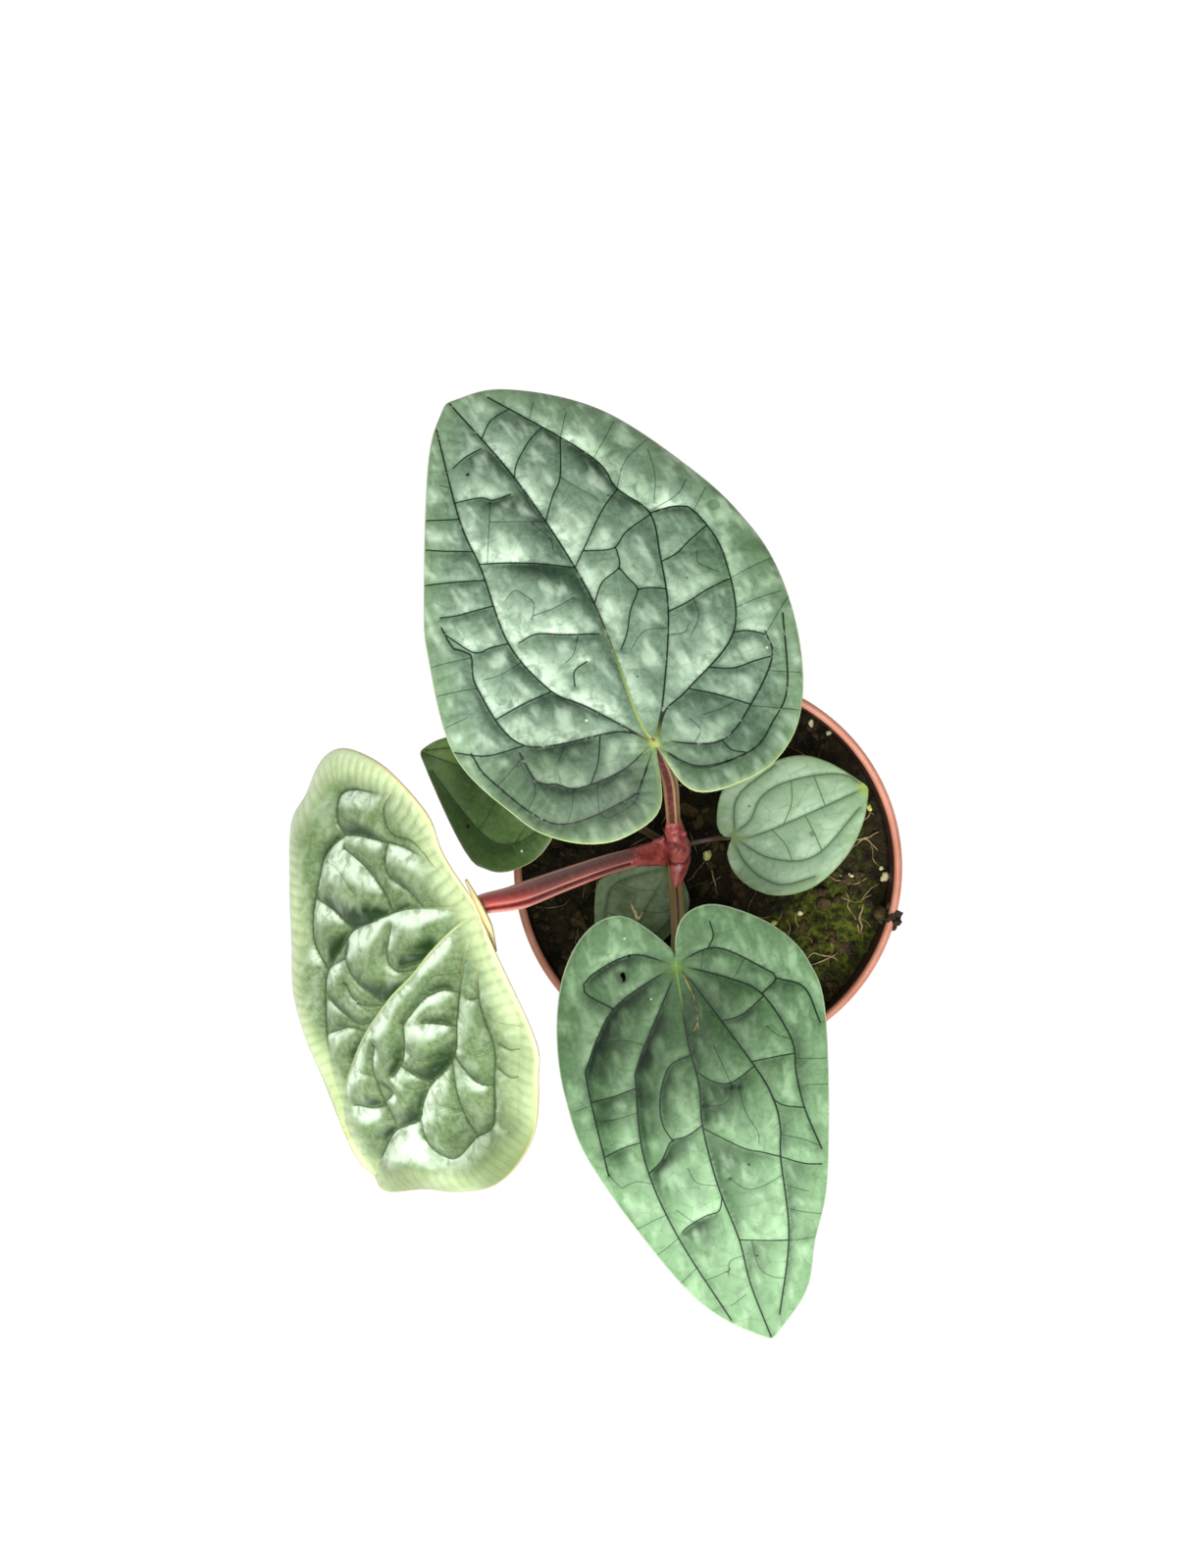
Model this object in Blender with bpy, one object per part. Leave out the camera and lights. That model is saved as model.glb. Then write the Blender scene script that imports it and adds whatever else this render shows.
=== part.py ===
"""Potted anthurium: a young plant with six quilted heart-shaped leaves in a 12 cm nursery pot.

The pot stands on z = 0 with its axis on the Z axis. The plant is rooted a little off the pot's
centre. Sizes are in millimetres in the tables below and are turned into metres by MM. Each leaf
blade is drawn flat in its own frame: x to the right of the midrib, y towards the tip and z up from
the blade, with the petiole joint at the frame's origin.
"""
import math

import bmesh
import bpy
import numpy as np
from mathutils import Matrix, Vector, noise
from mathutils.geometry import delaunay_2d_cdt

MM = 0.001
FIT_GAP = 0.3                # clearance between neighbouring solids
SMOOTH_ANGLE = 40.0          # edges sharper than this many degrees stay sharp
JOIN_REACH = 0.001           # corners of a turned body this close are one
CUT_OVERSHOOT = 1.0          # a cutter reaches this far past what it cuts

# Pot
POT_HEIGHT = 95.0
RIM_RADIUS = 60.0
COLLAR_RADIUS = 59.2
COLLAR_BOTTOM = 78.0
SHOULDER_RADIUS = 57.2       # body just under the collar
BASE_RADIUS = 43.0
BASE_BEVEL = 0.8
POT_WALL = 1.3
RIM_ROLL = 1.3               # radius of the rolled lip
LIP_ANGLES = (-35, 5, 45, 90, 135, 180)
STEP_ABOVE = 2.0             # inside the collar's step, above and below its edge
STEP_BELOW = 1.0
FOOT_WIDTH = 5.5
FOOT_SLOPE = 1.5
DISC_INSET = 2.0             # the disc's upper side is smaller than its foot by this much
FLOOR_LIFT = 2.0             # drained ring of the floor stands this far off the ground
CENTRE_DISC_RADIUS = 15.0    # flat disc that the pot rests on
DRAIN_COUNT = 8
DRAIN_RADIUS = 3.5
DRAIN_CIRCLE = 27.0
DRAIN_SEGMENTS = 10
POT_SEGMENTS = 48
POT_SMOOTH_ANGLE = 30.0

# Soil
SOIL_LEVEL = 86.0
SOIL_RELIEF = 1.5
COARSE_LUMP = 11.0           # size of the soil's lumps
FINE_LUMP = 5.0
FINE_LUMP_SHARE = 0.45
COARSE_LAYER = 3.7           # which layer of the noise the lumps are read from
FINE_LAYER = 9.1
MOUND_HEIGHT = 2.0           # the soil rises towards the stem
MOUND_REACH = 12.0
SOIL_SEGMENTS = POT_SEGMENTS
SOIL_GRID = 6.6
SOIL_SMOOTH_ANGLE = 60.0
SOIL_STEP_LIFT = 0.1         # keeps the soil's step clear of the collar's
STEM_HOLE_RADIUS = 4.0
STEM_HOLE_FLOOR = 61.0

# Stem, with the red crown where the leaf stalks meet
STEM_X = -11.6
STEM_Y = 7.0
STEM_SIDES = 14
STEM_PROFILE = [             # height, radius
    (STEM_HOLE_FLOOR + FIT_GAP, 0.0),
    (STEM_HOLE_FLOOR + FIT_GAP, 2.2),
    (64.0, 3.2),
    (90.0, 3.6),
    (91.5, 4.0),
    (93.0, 3.5),
    (97.0, 3.3),
    (98.5, 3.8),
    (100.0, 3.3),
    (105.0, 3.3),
    (109.0, 4.0),
    (113.0, 4.4),
    (116.0, 3.8),
    (118.5, 2.4),
    (121.0, 0.9),
    (122.0, 0.0),
]

# Petioles
PETIOLE_SECTION = [          # sideways and upwards, in half widths, with the groove on top
    (1.00, 0.05),
    (0.82, 0.60),
    (0.45, 0.86),
    (0.00, 0.50),
    (-0.45, 0.86),
    (-0.82, 0.60),
    (-1.00, 0.05),
    (-0.72, -0.62),
    (0.00, -0.90),
    (0.72, -0.62),
]
THIN_SECTION = [
    (0.96, 0.10),
    (0.50, 0.82),
    (0.00, 0.62),
    (-0.50, 0.82),
    (-0.96, 0.10),
    (-0.68, -0.68),
    (0.00, -0.96),
    (0.68, -0.68),
]

# Blades
BLADE_THICKNESS = 0.9
BLADE_GRID = 4.4             # spacing of the blade's inner points
BLADE_EDGE_STEP = 4.2
GRID_CLEARANCE = 0.55        # inner points keep this share of the spacing from every line
MARGIN_CLEARANCE = 1.0       # veins end this far inside the margin
MERGE_REACH = 1e-4
LOBE_SHARE = 0.25            # the lobes reach this share of the length behind the joint
LOBE_POWER = 1.5
VEIN_START = 4.5             # veins this close to the joint are left to the blade's own surface
MAIN_VEIN_WIDTH = 4.6        # width of the valley that a main vein makes in the quilting
CROSS_VEIN_WIDTH = 3.2
CROSS_VEIN_DEPTH = 0.62
MARGIN_WIDTH = 8.0           # the quilting fades out towards the margin over this width
MARGIN_QUILT = 0.3
SEAT_STEP = 1.5              # the stalk meets the blade this far in from the joint

LEAVES = {
    "top": dict(
        base=(-20.0, 36.3, 165.0), heading=120.7, pitch=9.6, roll=4.0,
        length=116.8, half_width=46.0, droop=14.0, curl=(7.0, 5.0), lobe_drop=3.0, quilt=2.4,
        left_edge=[(0, -1), (-7, -15), (-18, -17), (-27, -14), (-35, -7), (-40, 2), (-46, 25),
                   (-39, 52), (-32, 67), (-11, 103), (1, 116)],
        right_edge=[(0, -1), (1, -13), (6, -18), (17, -20), (26, -19), (35, -14), (43, -4),
                    (50, 11), (54, 27), (54, 41), (50, 60), (37, 91), (17, 111), (1, 116)],
        veins=dict(
            midrib=[(0, 0), (0, 9), (6, 43), (6, 81), (2, 115)],
            right_1=[(1, 1), (8, 9), (21, 28), (28, 44), (32, 56), (28, 67), (27, 79), (12, 111)],
            right_2=[(2, 1), (7, 6), (15, 8), (34, 16), (43, 36), (43, 50), (40, 54), (32, 56)],
            right_3=[(1, 0), (15, -8), (28, -3), (39, 5), (41, 12)],
            right_4=[(0, -1), (7, -11), (21, -14), (30, -10), (38, -4), (48, 14)],
            left_1=[(0, 0), (-10, 17), (-16, 26), (-19, 43), (-15, 65), (-13, 81), (-5, 110)],
            left_2=[(-1, 1), (-6, 7), (-29, 17), (-32, 37), (-29, 46), (-32, 50), (-32, 57)],
            left_3=[(-1, 0), (-11, -2), (-23, 0), (-27, 4), (-31, 7), (-31, 16)],
            left_4=[(-1, -1), (-8, -7), (-13, -9), (-32, -5), (-41, 14), (-42, 23)],
        ),
        cross_veins=[        # start, end and bow: a vein and how far along it, or a point
            (("midrib", 0.45), ("left_1", 0.62), -1), ((1, 34), (-11, 43), 1),
            (("midrib", 0.45), ("right_1", 0.61), 0), (("midrib", 0.59), ("right_1", 0.80), -2),
            (("midrib", 0.73), ("right_1", 0.86), 1), (("midrib", 0.86), ("right_1", 0.94), 2),
            (("left_1", 0.87), ("midrib", 0.84), 1), (("left_1", 0.80), ("midrib", 0.72), -3),
            (("right_1", 0.28), ("right_2", 0.59), -1), (("right_1", 0.40), ("right_2", 0.82), -2),
            (("right_1", 0.33), (9, 28), -4), (("right_2", 0.18), ("right_3", 0.57), 0),
            (("left_1", 0.26), ("left_2", 0.57), -1), (("left_1", 0.57), ("left_edge", 0.71), 0),
            (("left_1", 0.51), ("left_edge", 0.65), 1), (("right_2", 0.42), ("right_3", 0.99), 0),
            (("left_1", 0.41), ("left_2", 0.84), 0), (("left_1", 0.74), ("left_edge", 0.80), 0),
            (("left_1", 0.66), ("left_edge", 0.75), 0), (("right_1", 0.61), (36, 85), 4),
            (("right_1", 0.52), ("right_edge", 0.70), -2),
            (("right_2", 0.84), ("right_edge", 0.61), -2),
            (("right_2", 0.49), ("right_edge", 0.43), -1),
            (("right_3", 0.58), ("right_edge", 0.26), -1), (("left_3", 0.41), ("left_4", 0.38), 0),
            ((-3, 82), ("left_1", 0.61), -1), (("left_1", 0.17), (-2, 31), 2),
        ],
    ),
    "left": dict(
        base=(-65.6, -5.8, 162.0), heading=-125.0, pitch=28.0, roll=18.0,
        length=115.0, half_width=52.0, droop=16.0, curl=(8.0, 8.0), lobe_drop=2.0, quilt=3.6,
        left_edge=[(1, -1), (-31, 17), (-40, 29), (-47, 44), (-49, 59), (-47, 73), (-40, 85),
                   (-32, 94), (-24, 107), (-20, 110)],
        right_edge=[(1, -1), (16, -4), (25, -8), (37, -8), (50, -5), (63, 3), (68, 13), (67, 25),
                    (67, 37), (58, 49), (45, 65), (36, 78), (25, 86), (11, 93), (-9, 107),
                    (-17, 107), (-20, 110)],
        veins=dict(
            midrib=[(-1, 1), (7, 37), (9, 60), (7, 80), (2, 95), (-6, 104), (-16, 106)],
            right_1=[(1, 1), (11, 11), (19, 22), (25, 35), (27, 48), (27, 62), (15, 85), (8, 92)],
            right_2=[(2, 1), (23, 3), (43, 16), (50, 32), (42, 48), (29, 57)],
            right_3=[(3, 0), (22, -1), (37, -2), (52, 9), (56, 14), (48, 20)],
            left_1=[(-2, 1), (-9, 24), (-16, 44), (-18, 68), (-15, 83), (-16, 104)],
            left_2=[(-3, 2), (-6, 9), (-12, 17), (-20, 25), (-36, 49), (-37, 58), (-34, 64)],
            left_3=[(-3, 2), (-16, 13), (-26, 26), (-32, 29), (-41, 46), (-42, 55), (-34, 75),
                    (-28, 81), (-21, 83)],
        ),
        cross_veins=[
            (("right_1", 0.26), (44, 25), 0), (("right_1", 0.26), (10, 38), -2),
            (("right_1", 0.39), ("right_2", 0.69), 1), (("right_1", 0.51), ("midrib", 0.41), -1),
            (("right_1", 0.55), ("midrib", 0.48), 0), (("midrib", 0.31), ("left_1", 0.17), 1),
            (("left_1", 0.33), (2, 59), -3), (("left_1", 0.47), ("midrib", 0.54), 5),
            (("left_1", 0.65), ("midrib", 0.82), 1), ((-20, 42), ("left_2", 0.66), -1),
            (("left_1", 0.45), ("left_2", 0.95), -1), (("left_2", 0.51), ("left_3", 0.36), 0),
            (("right_2", 0.34), ("right_1", 0.10), -4), (("right_3", 0.76), ("right_2", 0.38), -2),
            (("right_2", 1.00), ("right_edge", 0.67), 0),
            (("right_1", 0.73), ("right_edge", 0.72), 0),
            (("right_2", 0.87), ("right_edge", 0.60), 0),
            (("right_2", 0.58), ("right_edge", 0.47), -3),
            (("left_3", 0.93), ("left_edge", 0.84), 0), (("left_3", 0.80), ("left_edge", 0.73), 0),
            (("left_3", 0.65), ("left_edge", 0.58), 0), (("left_3", 0.46), ("left_edge", 0.39), 0),
            (("left_1", 0.24), ("left_2", 0.30), 0), ((-6, 83), ("midrib", 0.65), -1),
        ],
    ),
    "bottom": dict(
        base=(-13.1, -23.8, 143.0), heading=-75.2, pitch=6.4, roll=0.0,
        length=118.4, half_width=40.0, droop=12.0, curl=(5.0, 5.0), lobe_drop=3.0, quilt=1.6,
        left_edge=[(0, 0), (-2, -8), (-6, -13), (-13, -14), (-21, -10), (-30, -2), (-36, 9),
                   (-37, 26), (-27, 71), (-19, 90), (-13, 105), (0, 118)],
        right_edge=[(0, 0), (0, -5), (9, -16), (17, -17), (25, -12), (32, -2), (37, 13), (39, 30),
                    (37, 51), (23, 89), (13, 106), (0, 118)],
        veins=dict(
            midrib=[(0, 0), (2, 22), (2, 34), (4, 47), (4, 65), (2, 83), (2, 98), (0, 117)],
            left_1=[(0, 1), (-3, 5), (-14, 33), (-17, 44), (-17, 53), (-15, 62), (-12, 86),
                    (-4, 110)],
            left_2=[(-1, 0), (-13, 7), (-21, 14), (-26, 29), (-25, 39), (-25, 50), (-27, 63)],
            left_3=[(-1, -1), (-12, -2), (-23, 7), (-26, 11), (-21, 14)],
            left_4=[(-26, 11), (-33, 16), (-35, 27)],
            right_1=[(0, 1), (16, 23), (19, 31), (22, 52), (19, 76), (10, 108)],
            right_2=[(1, 1), (7, 2), (20, 8), (30, 21), (32, 28), (33, 55)],
            right_3=[(1, -1), (11, -6), (23, -3), (26, 1), (20, 7)],
        ),
        cross_veins=[
            (("midrib", 0.22), (16, 50), -6), (("midrib", 0.28), ("left_1", 0.32), -3),
            (("midrib", 0.42), ("left_1", 0.56), 0), (("midrib", 0.40), ("right_1", 0.55), -2),
            (("right_2", 0.68), ("right_1", 0.32), 1), (("left_1", 0.17), ("left_2", 0.36), 0),
            (("midrib", 0.71), ("left_1", 0.79), 0), (("right_1", 0.45), ("right_2", 0.89), 2),
            (("left_3", 0.29), ("left_edge", 0.13), 0), (("left_2", 0.68), ("left_edge", 0.52), 0),
            (("left_1", 0.43), ("left_2", 0.81), 0), (("left_1", 0.52), ("left_2", 0.99), 0),
            (("midrib", 0.55), ("left_1", 0.66), 0), ((17, 69), ("midrib", 0.57), -3),
            (("midrib", 0.84), ("right_1", 0.88), -2),
            (("right_2", 0.57), ("right_edge", 0.42), 0),
            (("right_2", 0.71), ("right_edge", 0.48), 0),
        ],
    ),
    "right": dict(
        base=(6.4, 9.7, 103.0), heading=20.0, pitch=1.3, roll=0.0,
        length=45.2, half_width=21.0, droop=3.0, curl=(2.0, 2.0), lobe_drop=1.0, quilt=0.6,
        left_edge=[(0, 0), (-1, -2), (-5, -3), (-13, 1), (-16, 7), (-17, 25), (-12, 35), (0, 45)],
        right_edge=[(0, 0), (4, -3), (10, -3), (16, 0), (21, 6), (23, 14), (22, 22), (17, 32),
                    (9, 40), (0, 45)],
        veins=dict(
            midrib=[(0, 0), (2, 9), (0, 44)],
            left_1=[(-1, 1), (-3, 7), (-8, 12), (-10, 19), (-9, 30), (-6, 39), (-1, 43)],
            left_2=[(-1, 1), (-11, 6), (-16, 20)],
            right_1=[(1, 1), (10, 9), (14, 22), (5, 40)],
            right_2=[(1, 0), (8, 1), (14, 4), (19, 10), (20, 20)],
        ),
        cross_veins=[
            (("midrib", 0.38), ("left_1", 0.51), -1), (("midrib", 0.52), ("right_1", 0.62), 0),
            (("midrib", 0.67), ("left_1", 0.67), 0), (("midrib", 0.27), ("right_1", 0.40), 1),
        ],
    ),
    "centre": dict(
        base=(-12.4, 0.0, 99.0), heading=-117.3, pitch=1.7, roll=0.0,
        length=33.9, half_width=15.0, droop=2.0, curl=(1.5, 1.5), lobe_drop=0.5, quilt=0.5,
        left_edge=[(0, 0), (-4, 0), (-11, 8), (-8, 22), (0, 34)],
        right_edge=[(0, 0), (5, 0), (15, 10), (17, 15), (12, 26), (7, 31), (0, 34)],
        veins=dict(
            midrib=[(0, 0), (1, 25), (0, 32)],
            left_1=[(-1, 0), (-8, 11), (-3, 26)],
            right_1=[(1, 0), (12, 11), (12, 18), (9, 25), (3, 30)],
        ),
        cross_veins=[
            (("midrib", 0.22), ("right_1", 0.39), 1), (("midrib", 0.48), ("left_1", 0.40), -1),
            (("midrib", 0.59), ("right_1", 0.67), 0),
        ],
    ),
    "dark": dict(
        base=(-44.8, 20.0, 121.0), heading=159.4, pitch=10.0, roll=-8.0,
        length=47.1, half_width=26.0, droop=5.0, curl=(4.0, 3.0), lobe_drop=1.0, quilt=1.2,
        left_edge=[(0, 0), (-9, -1), (-18, 2), (-25, 9), (-27, 16), (-24, 24), (-1, 47)],
        right_edge=[(0, 0), (7, 0), (13, 4), (16, 21), (6, 40), (-1, 47)],
        veins=dict(
            midrib=[(0, 0), (-1, 8), (0, 19), (-1, 46)],
            left_1=[(-2, 0), (-10, 4), (-17, 11), (-17, 20), (-5, 41)],
            right_1=[(1, 1), (8, 7), (12, 16), (9, 26), (0, 45)],
        ),
        cross_veins=[
            (("midrib", 0.18), ("left_1", 0.33), 1), (("midrib", 0.42), ("left_1", 0.56), 1),
            (("midrib", 0.18), ("right_1", 0.37), 2), (("midrib", 0.42), ("right_1", 0.59), 0),
        ],
    ),
}

COLOURS = {                  # red, green and blue, then roughness
    "pot": ((0.55, 0.28, 0.20), 0.45),
    "soil": ((0.035, 0.024, 0.014), 0.95),
    "stem": ((0.30, 0.035, 0.035), 0.35),
    "petiole_red": ((0.24, 0.05, 0.035), 0.35),
    "petiole_olive": ((0.13, 0.10, 0.035), 0.40),
    "blade_silver": ((0.16, 0.25, 0.19), 0.38),
    "blade_yellow": ((0.20, 0.30, 0.13), 0.28),
    "blade_light": ((0.22, 0.36, 0.22), 0.45),
    "blade_pale": ((0.28, 0.40, 0.26), 0.55),
    "blade_dark": ((0.02, 0.06, 0.02), 0.22),
}


def clear_scene():
    """Removes what is in the scene."""
    for item in list(bpy.data.objects):
        bpy.data.objects.remove(item, do_unlink=True)


def material(name):
    """The named Principled material, made on first use."""
    found = bpy.data.materials.get(name)
    if found:
        return found
    colour, roughness = COLOURS[name]
    made = bpy.data.materials.new(name)
    made.use_nodes = True
    shader = made.node_tree.nodes["Principled BSDF"]
    shader.inputs["Base Color"].default_value = (*colour, 1.0)
    shader.inputs["Roughness"].default_value = roughness
    shader.inputs["Metallic"].default_value = 0.0
    return made


def add_object(name, bm, material_name, smooth_angle=SMOOTH_ANGLE):
    """Links a mesh in millimetres as an object in metres."""
    bmesh.ops.scale(bm, vec=(MM, MM, MM), verts=bm.verts)
    mesh = bpy.data.meshes.new(name)
    bm.to_mesh(mesh)
    bm.free()
    mesh.shade_smooth()
    mesh.set_sharp_from_angle(angle=math.radians(smooth_angle))
    made = bpy.data.objects.new(name, mesh)
    bpy.context.scene.collection.objects.link(made)
    if material_name:
        mesh.materials.append(material(material_name))
    return made


def apply_booleans(target, others, operation):
    """Joins or cuts the target with other objects, which are then removed."""
    group = bpy.data.collections.new("operands")
    bpy.context.scene.collection.children.link(group)
    for other in others:
        group.objects.link(other)
    modifier = target.modifiers.new("combine", "BOOLEAN")
    modifier.operation = operation
    modifier.operand_type = "COLLECTION"
    modifier.collection = group
    bpy.context.view_layer.update()
    graph = bpy.context.evaluated_depsgraph_get()
    mesh = bpy.data.meshes.new_from_object(target.evaluated_get(graph))
    target.modifiers.clear()
    target.data = mesh
    for other in others:
        bpy.data.objects.remove(other, do_unlink=True)
    bpy.data.collections.remove(group)


def turned(profile, segments, centre=(0.0, 0.0)):
    """A closed body turned about a vertical axis from (radius, height) points on the axis's side."""
    bm = bmesh.new()
    points = [bm.verts.new((radius, 0.0, height)) for radius, height in profile]
    lines = [bm.edges.new(pair) for pair in zip(points, points[1:])]
    bmesh.ops.spin(bm, geom=points + lines, axis=(0, 0, 1), cent=(0, 0, 0),
                   steps=segments, angle=math.tau, use_merge=True)
    bmesh.ops.remove_doubles(bm, verts=bm.verts, dist=JOIN_REACH)
    bmesh.ops.triangulate(bm, faces=bm.faces)
    bmesh.ops.recalc_face_normals(bm, faces=bm.faces)
    bmesh.ops.translate(bm, vec=(centre[0], centre[1], 0.0), verts=bm.verts)
    return bm


# Curves in the plane and in space

def through(points, step):
    """A smooth curve through the points, read about every step."""
    knots = np.array(points, float)
    if len(knots) < 3:
        count = max(2, round(float(np.linalg.norm(knots[-1] - knots[0])) / step) + 1)
        return np.linspace(knots[0], knots[-1], count)
    padded = np.vstack([2 * knots[0] - knots[1], knots, 2 * knots[-1] - knots[-2]])
    curve = []
    for before, start, end, after in zip(padded, padded[1:], padded[2:], padded[3:]):
        count = max(1, round(float(np.linalg.norm(end - start)) / step))
        for t in np.arange(count) / count:
            curve.append(0.5 * (2 * start + (end - before) * t
                                + (2 * before - 5 * start + 4 * end - after) * t ** 2
                                + (3 * start - before - 3 * end + after) * t ** 3))
    curve.append(knots[-1])
    return np.array(curve)


def along(curve, fraction):
    """The curve's own point nearest to a fraction of its length."""
    steps = np.linalg.norm(np.diff(curve, axis=0), axis=1)
    reached = np.concatenate([[0.0], np.cumsum(steps)])
    return curve[np.abs(reached - fraction * reached[-1]).argmin()]


def distance_to(points, curve):
    """Each point's distance to a polyline."""
    nearest = np.full(len(points), np.inf)
    for start, end in zip(curve, curve[1:]):
        line = end - start
        t = np.clip((points - start) @ line / max(float(line @ line), 1e-9), 0.0, 1.0)
        offset = points - (start + t[:, None] * line)
        nearest = np.minimum(nearest, np.hypot(offset[:, 0], offset[:, 1]))
    return nearest


# Leaf blades

def leaf_curves(leaf, step):
    """The margins, the main veins and the cross veins of a leaf as polylines."""
    curves = {side: through(leaf[side], step) for side in ("left_edge", "right_edge")}
    main = {name: through(points, step) for name, points in leaf["veins"].items()}
    curves.update(main)
    cross = []
    for *ends, bow in leaf["cross_veins"]:
        start, end = (np.array(along(curves[place[0]], place[1]) if isinstance(place[0], str)
                               else place, float) for place in ends)
        run = end - start
        middle = (start + end) / 2 + bow * np.array([-run[1], run[0]]) / np.hypot(*run)
        cross.append(through([start, middle, end], step))
    return curves, list(main.values()), cross


def leaf_height(leaf, points, margin, main, cross):
    """The blade's height over its own plane: droop, curl, and quilting between the veins."""
    right, ahead = points[:, 0], points[:, 1]
    forward = np.maximum(ahead, 0.0) / leaf["length"]
    behind = np.maximum(-ahead, 0.0) / (LOBE_SHARE * leaf["length"])
    curl = np.where(right < 0, leaf["curl"][0], leaf["curl"][1])
    form = (-leaf["droop"] * forward ** 2 - curl * (right / leaf["half_width"]) ** 2
            - leaf["lobe_drop"] * behind ** LOBE_POWER)
    to_main = np.min([distance_to(points, vein) for vein in main], axis=0)
    to_cross = np.min([distance_to(points, vein) for vein in cross], axis=0)
    crease = np.maximum(np.exp(-to_main / MAIN_VEIN_WIDTH),
                        CROSS_VEIN_DEPTH * np.exp(-to_cross / CROSS_VEIN_WIDTH))
    inside = np.clip(distance_to(points, margin) / MARGIN_WIDTH, 0.0, 1.0)
    fade = MARGIN_QUILT + (1.0 - MARGIN_QUILT) * inside * inside * (3 - 2 * inside)
    return form + leaf["quilt"] * (1.0 - crease) * fade


def triangulated(outline, lines, spacing):
    """Triangles inside a closed outline, with the lines on their edges and a grid between them."""
    points = [tuple(point) for point in outline]
    edges = [(i, (i + 1) % len(outline)) for i in range(len(outline))]
    for line in lines:
        first = len(points)
        points.extend(tuple(point) for point in line)
        edges.extend((first + i, first + i + 1) for i in range(len(line) - 1))
    low, high = outline.min(axis=0), outline.max(axis=0)
    row_height = spacing * math.sqrt(3) / 2
    grid = np.array([(low[0] + (column + 0.5 * (row % 2)) * spacing, low[1] + row * row_height)
                     for row in range(int((high[1] - low[1]) / row_height) + 1)
                     for column in range(int((high[0] - low[0]) / spacing) + 1)])
    closed = np.vstack([outline, outline[:1]])
    clear = np.min([distance_to(grid, line) for line in [closed, *lines]], axis=0)
    points.extend(tuple(point) for point in grid[clear > GRID_CLEARANCE * spacing])
    found = delaunay_2d_cdt([Vector(point) for point in points], edges,
                            [list(range(len(outline)))], 1, MERGE_REACH)
    return np.array([tuple(vertex) for vertex in found[0]]), [list(face) for face in found[2]]


def slab(points, faces, top, bottom):
    """A closed sheet between two heights over the same triangles."""
    bm = bmesh.new()
    upper = [bm.verts.new((x, y, z)) for (x, y), z in zip(points, top)]
    lower = [bm.verts.new((x, y, z)) for (x, y), z in zip(points, bottom)]
    sides = {}
    for face in faces:
        bm.faces.new([upper[i] for i in face])
        bm.faces.new([lower[i] for i in reversed(face)])
        for edge in zip(face, face[1:] + face[:1]):
            sides[edge] = sides.get(edge, 0) + 1
    for start, end in sides:
        if (end, start) not in sides:
            bm.faces.new([upper[end], upper[start], lower[end]])
            bm.faces.new([upper[start], lower[start], lower[end]])
    loose = [vertex for vertex in bm.verts if not vertex.link_faces]
    bmesh.ops.delete(bm, geom=loose, context="VERTS")
    return bm


def leaf_frame(leaf):
    """The blade's frame: x to the right, y towards the tip, z up from the blade."""
    heading, pitch, roll = (math.radians(leaf[key]) for key in ("heading", "pitch", "roll"))
    ahead = Vector((math.cos(heading) * math.cos(pitch), math.sin(heading) * math.cos(pitch),
                    -math.sin(pitch)))
    level = Vector((math.sin(heading), -math.cos(heading), 0.0))
    up = level.cross(ahead)
    right = level * math.cos(roll) - up * math.sin(roll)
    up = up * math.cos(roll) + level * math.sin(roll)
    frame = Matrix((right, ahead, up)).transposed().to_4x4()
    frame.translation = Vector(leaf["base"])
    return frame


def make_blade(name, leaf, material_name):
    """One blade, in its own frame and placed at its petiole's end."""
    curves, main, cross = leaf_curves(leaf, BLADE_EDGE_STEP)
    margin = np.vstack([curves["right_edge"][:-1], curves["left_edge"][:0:-1]])
    closed = np.vstack([margin, margin[:1]])
    side_veins = [vein[np.hypot(vein[:, 0], vein[:, 1]) > VEIN_START] for vein in main[1:]]
    lines = []
    for vein in [main[0], *side_veins, *cross]:
        inside = vein[distance_to(vein, closed) > MARGIN_CLEARANCE]
        if len(inside) > 1:
            lines.append(inside)
    points, faces = triangulated(margin, lines, BLADE_GRID)
    height = leaf_height(leaf, points, closed, main, cross)
    bm = slab(points, faces, height + BLADE_THICKNESS / 2, height - BLADE_THICKNESS / 2)
    bmesh.ops.recalc_face_normals(bm, faces=bm.faces)
    blade = add_object(name, bm, material_name)
    frame = leaf_frame(leaf)
    frame.translation *= MM
    blade.matrix_world = frame
    return blade


# Petioles and stem

def swept(route, widths, section, step, inward):
    """A closed tube along a smooth route, its section's top turned up and towards the stem."""
    path = through(route, step)
    reached = np.concatenate([[0.0], np.cumsum(np.linalg.norm(np.diff(path, axis=0), axis=1))])
    places = reached / reached[-1]
    half = np.interp(places, [place for place, _ in widths], [width for _, width in widths])
    bm = bmesh.new()
    rings = []
    for i, point in enumerate(path):
        ahead = Vector(path[min(i + 1, len(path) - 1)] - path[max(i - 1, 0)]).normalized()
        side = ahead.cross(Vector((inward[0], inward[1], 1.0)).normalized()).normalized()
        up = side.cross(ahead)
        rings.append([bm.verts.new(Vector(point) + side * x * half[i] + up * y * half[i])
                      for x, y in section])
    count = len(section)
    for lower, upper in zip(rings, rings[1:]):
        for i in range(count):
            j = (i + 1) % count
            bm.faces.new([lower[i], lower[j], upper[j]])
            bm.faces.new([lower[i], upper[j], upper[i]])
    bm.faces.new(list(reversed(rings[0])))
    bm.faces.new(rings[-1])
    bmesh.ops.triangulate(bm, faces=[face for face in bm.faces if len(face.verts) > 4])
    bmesh.ops.recalc_face_normals(bm, faces=bm.faces)
    return bm


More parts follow.
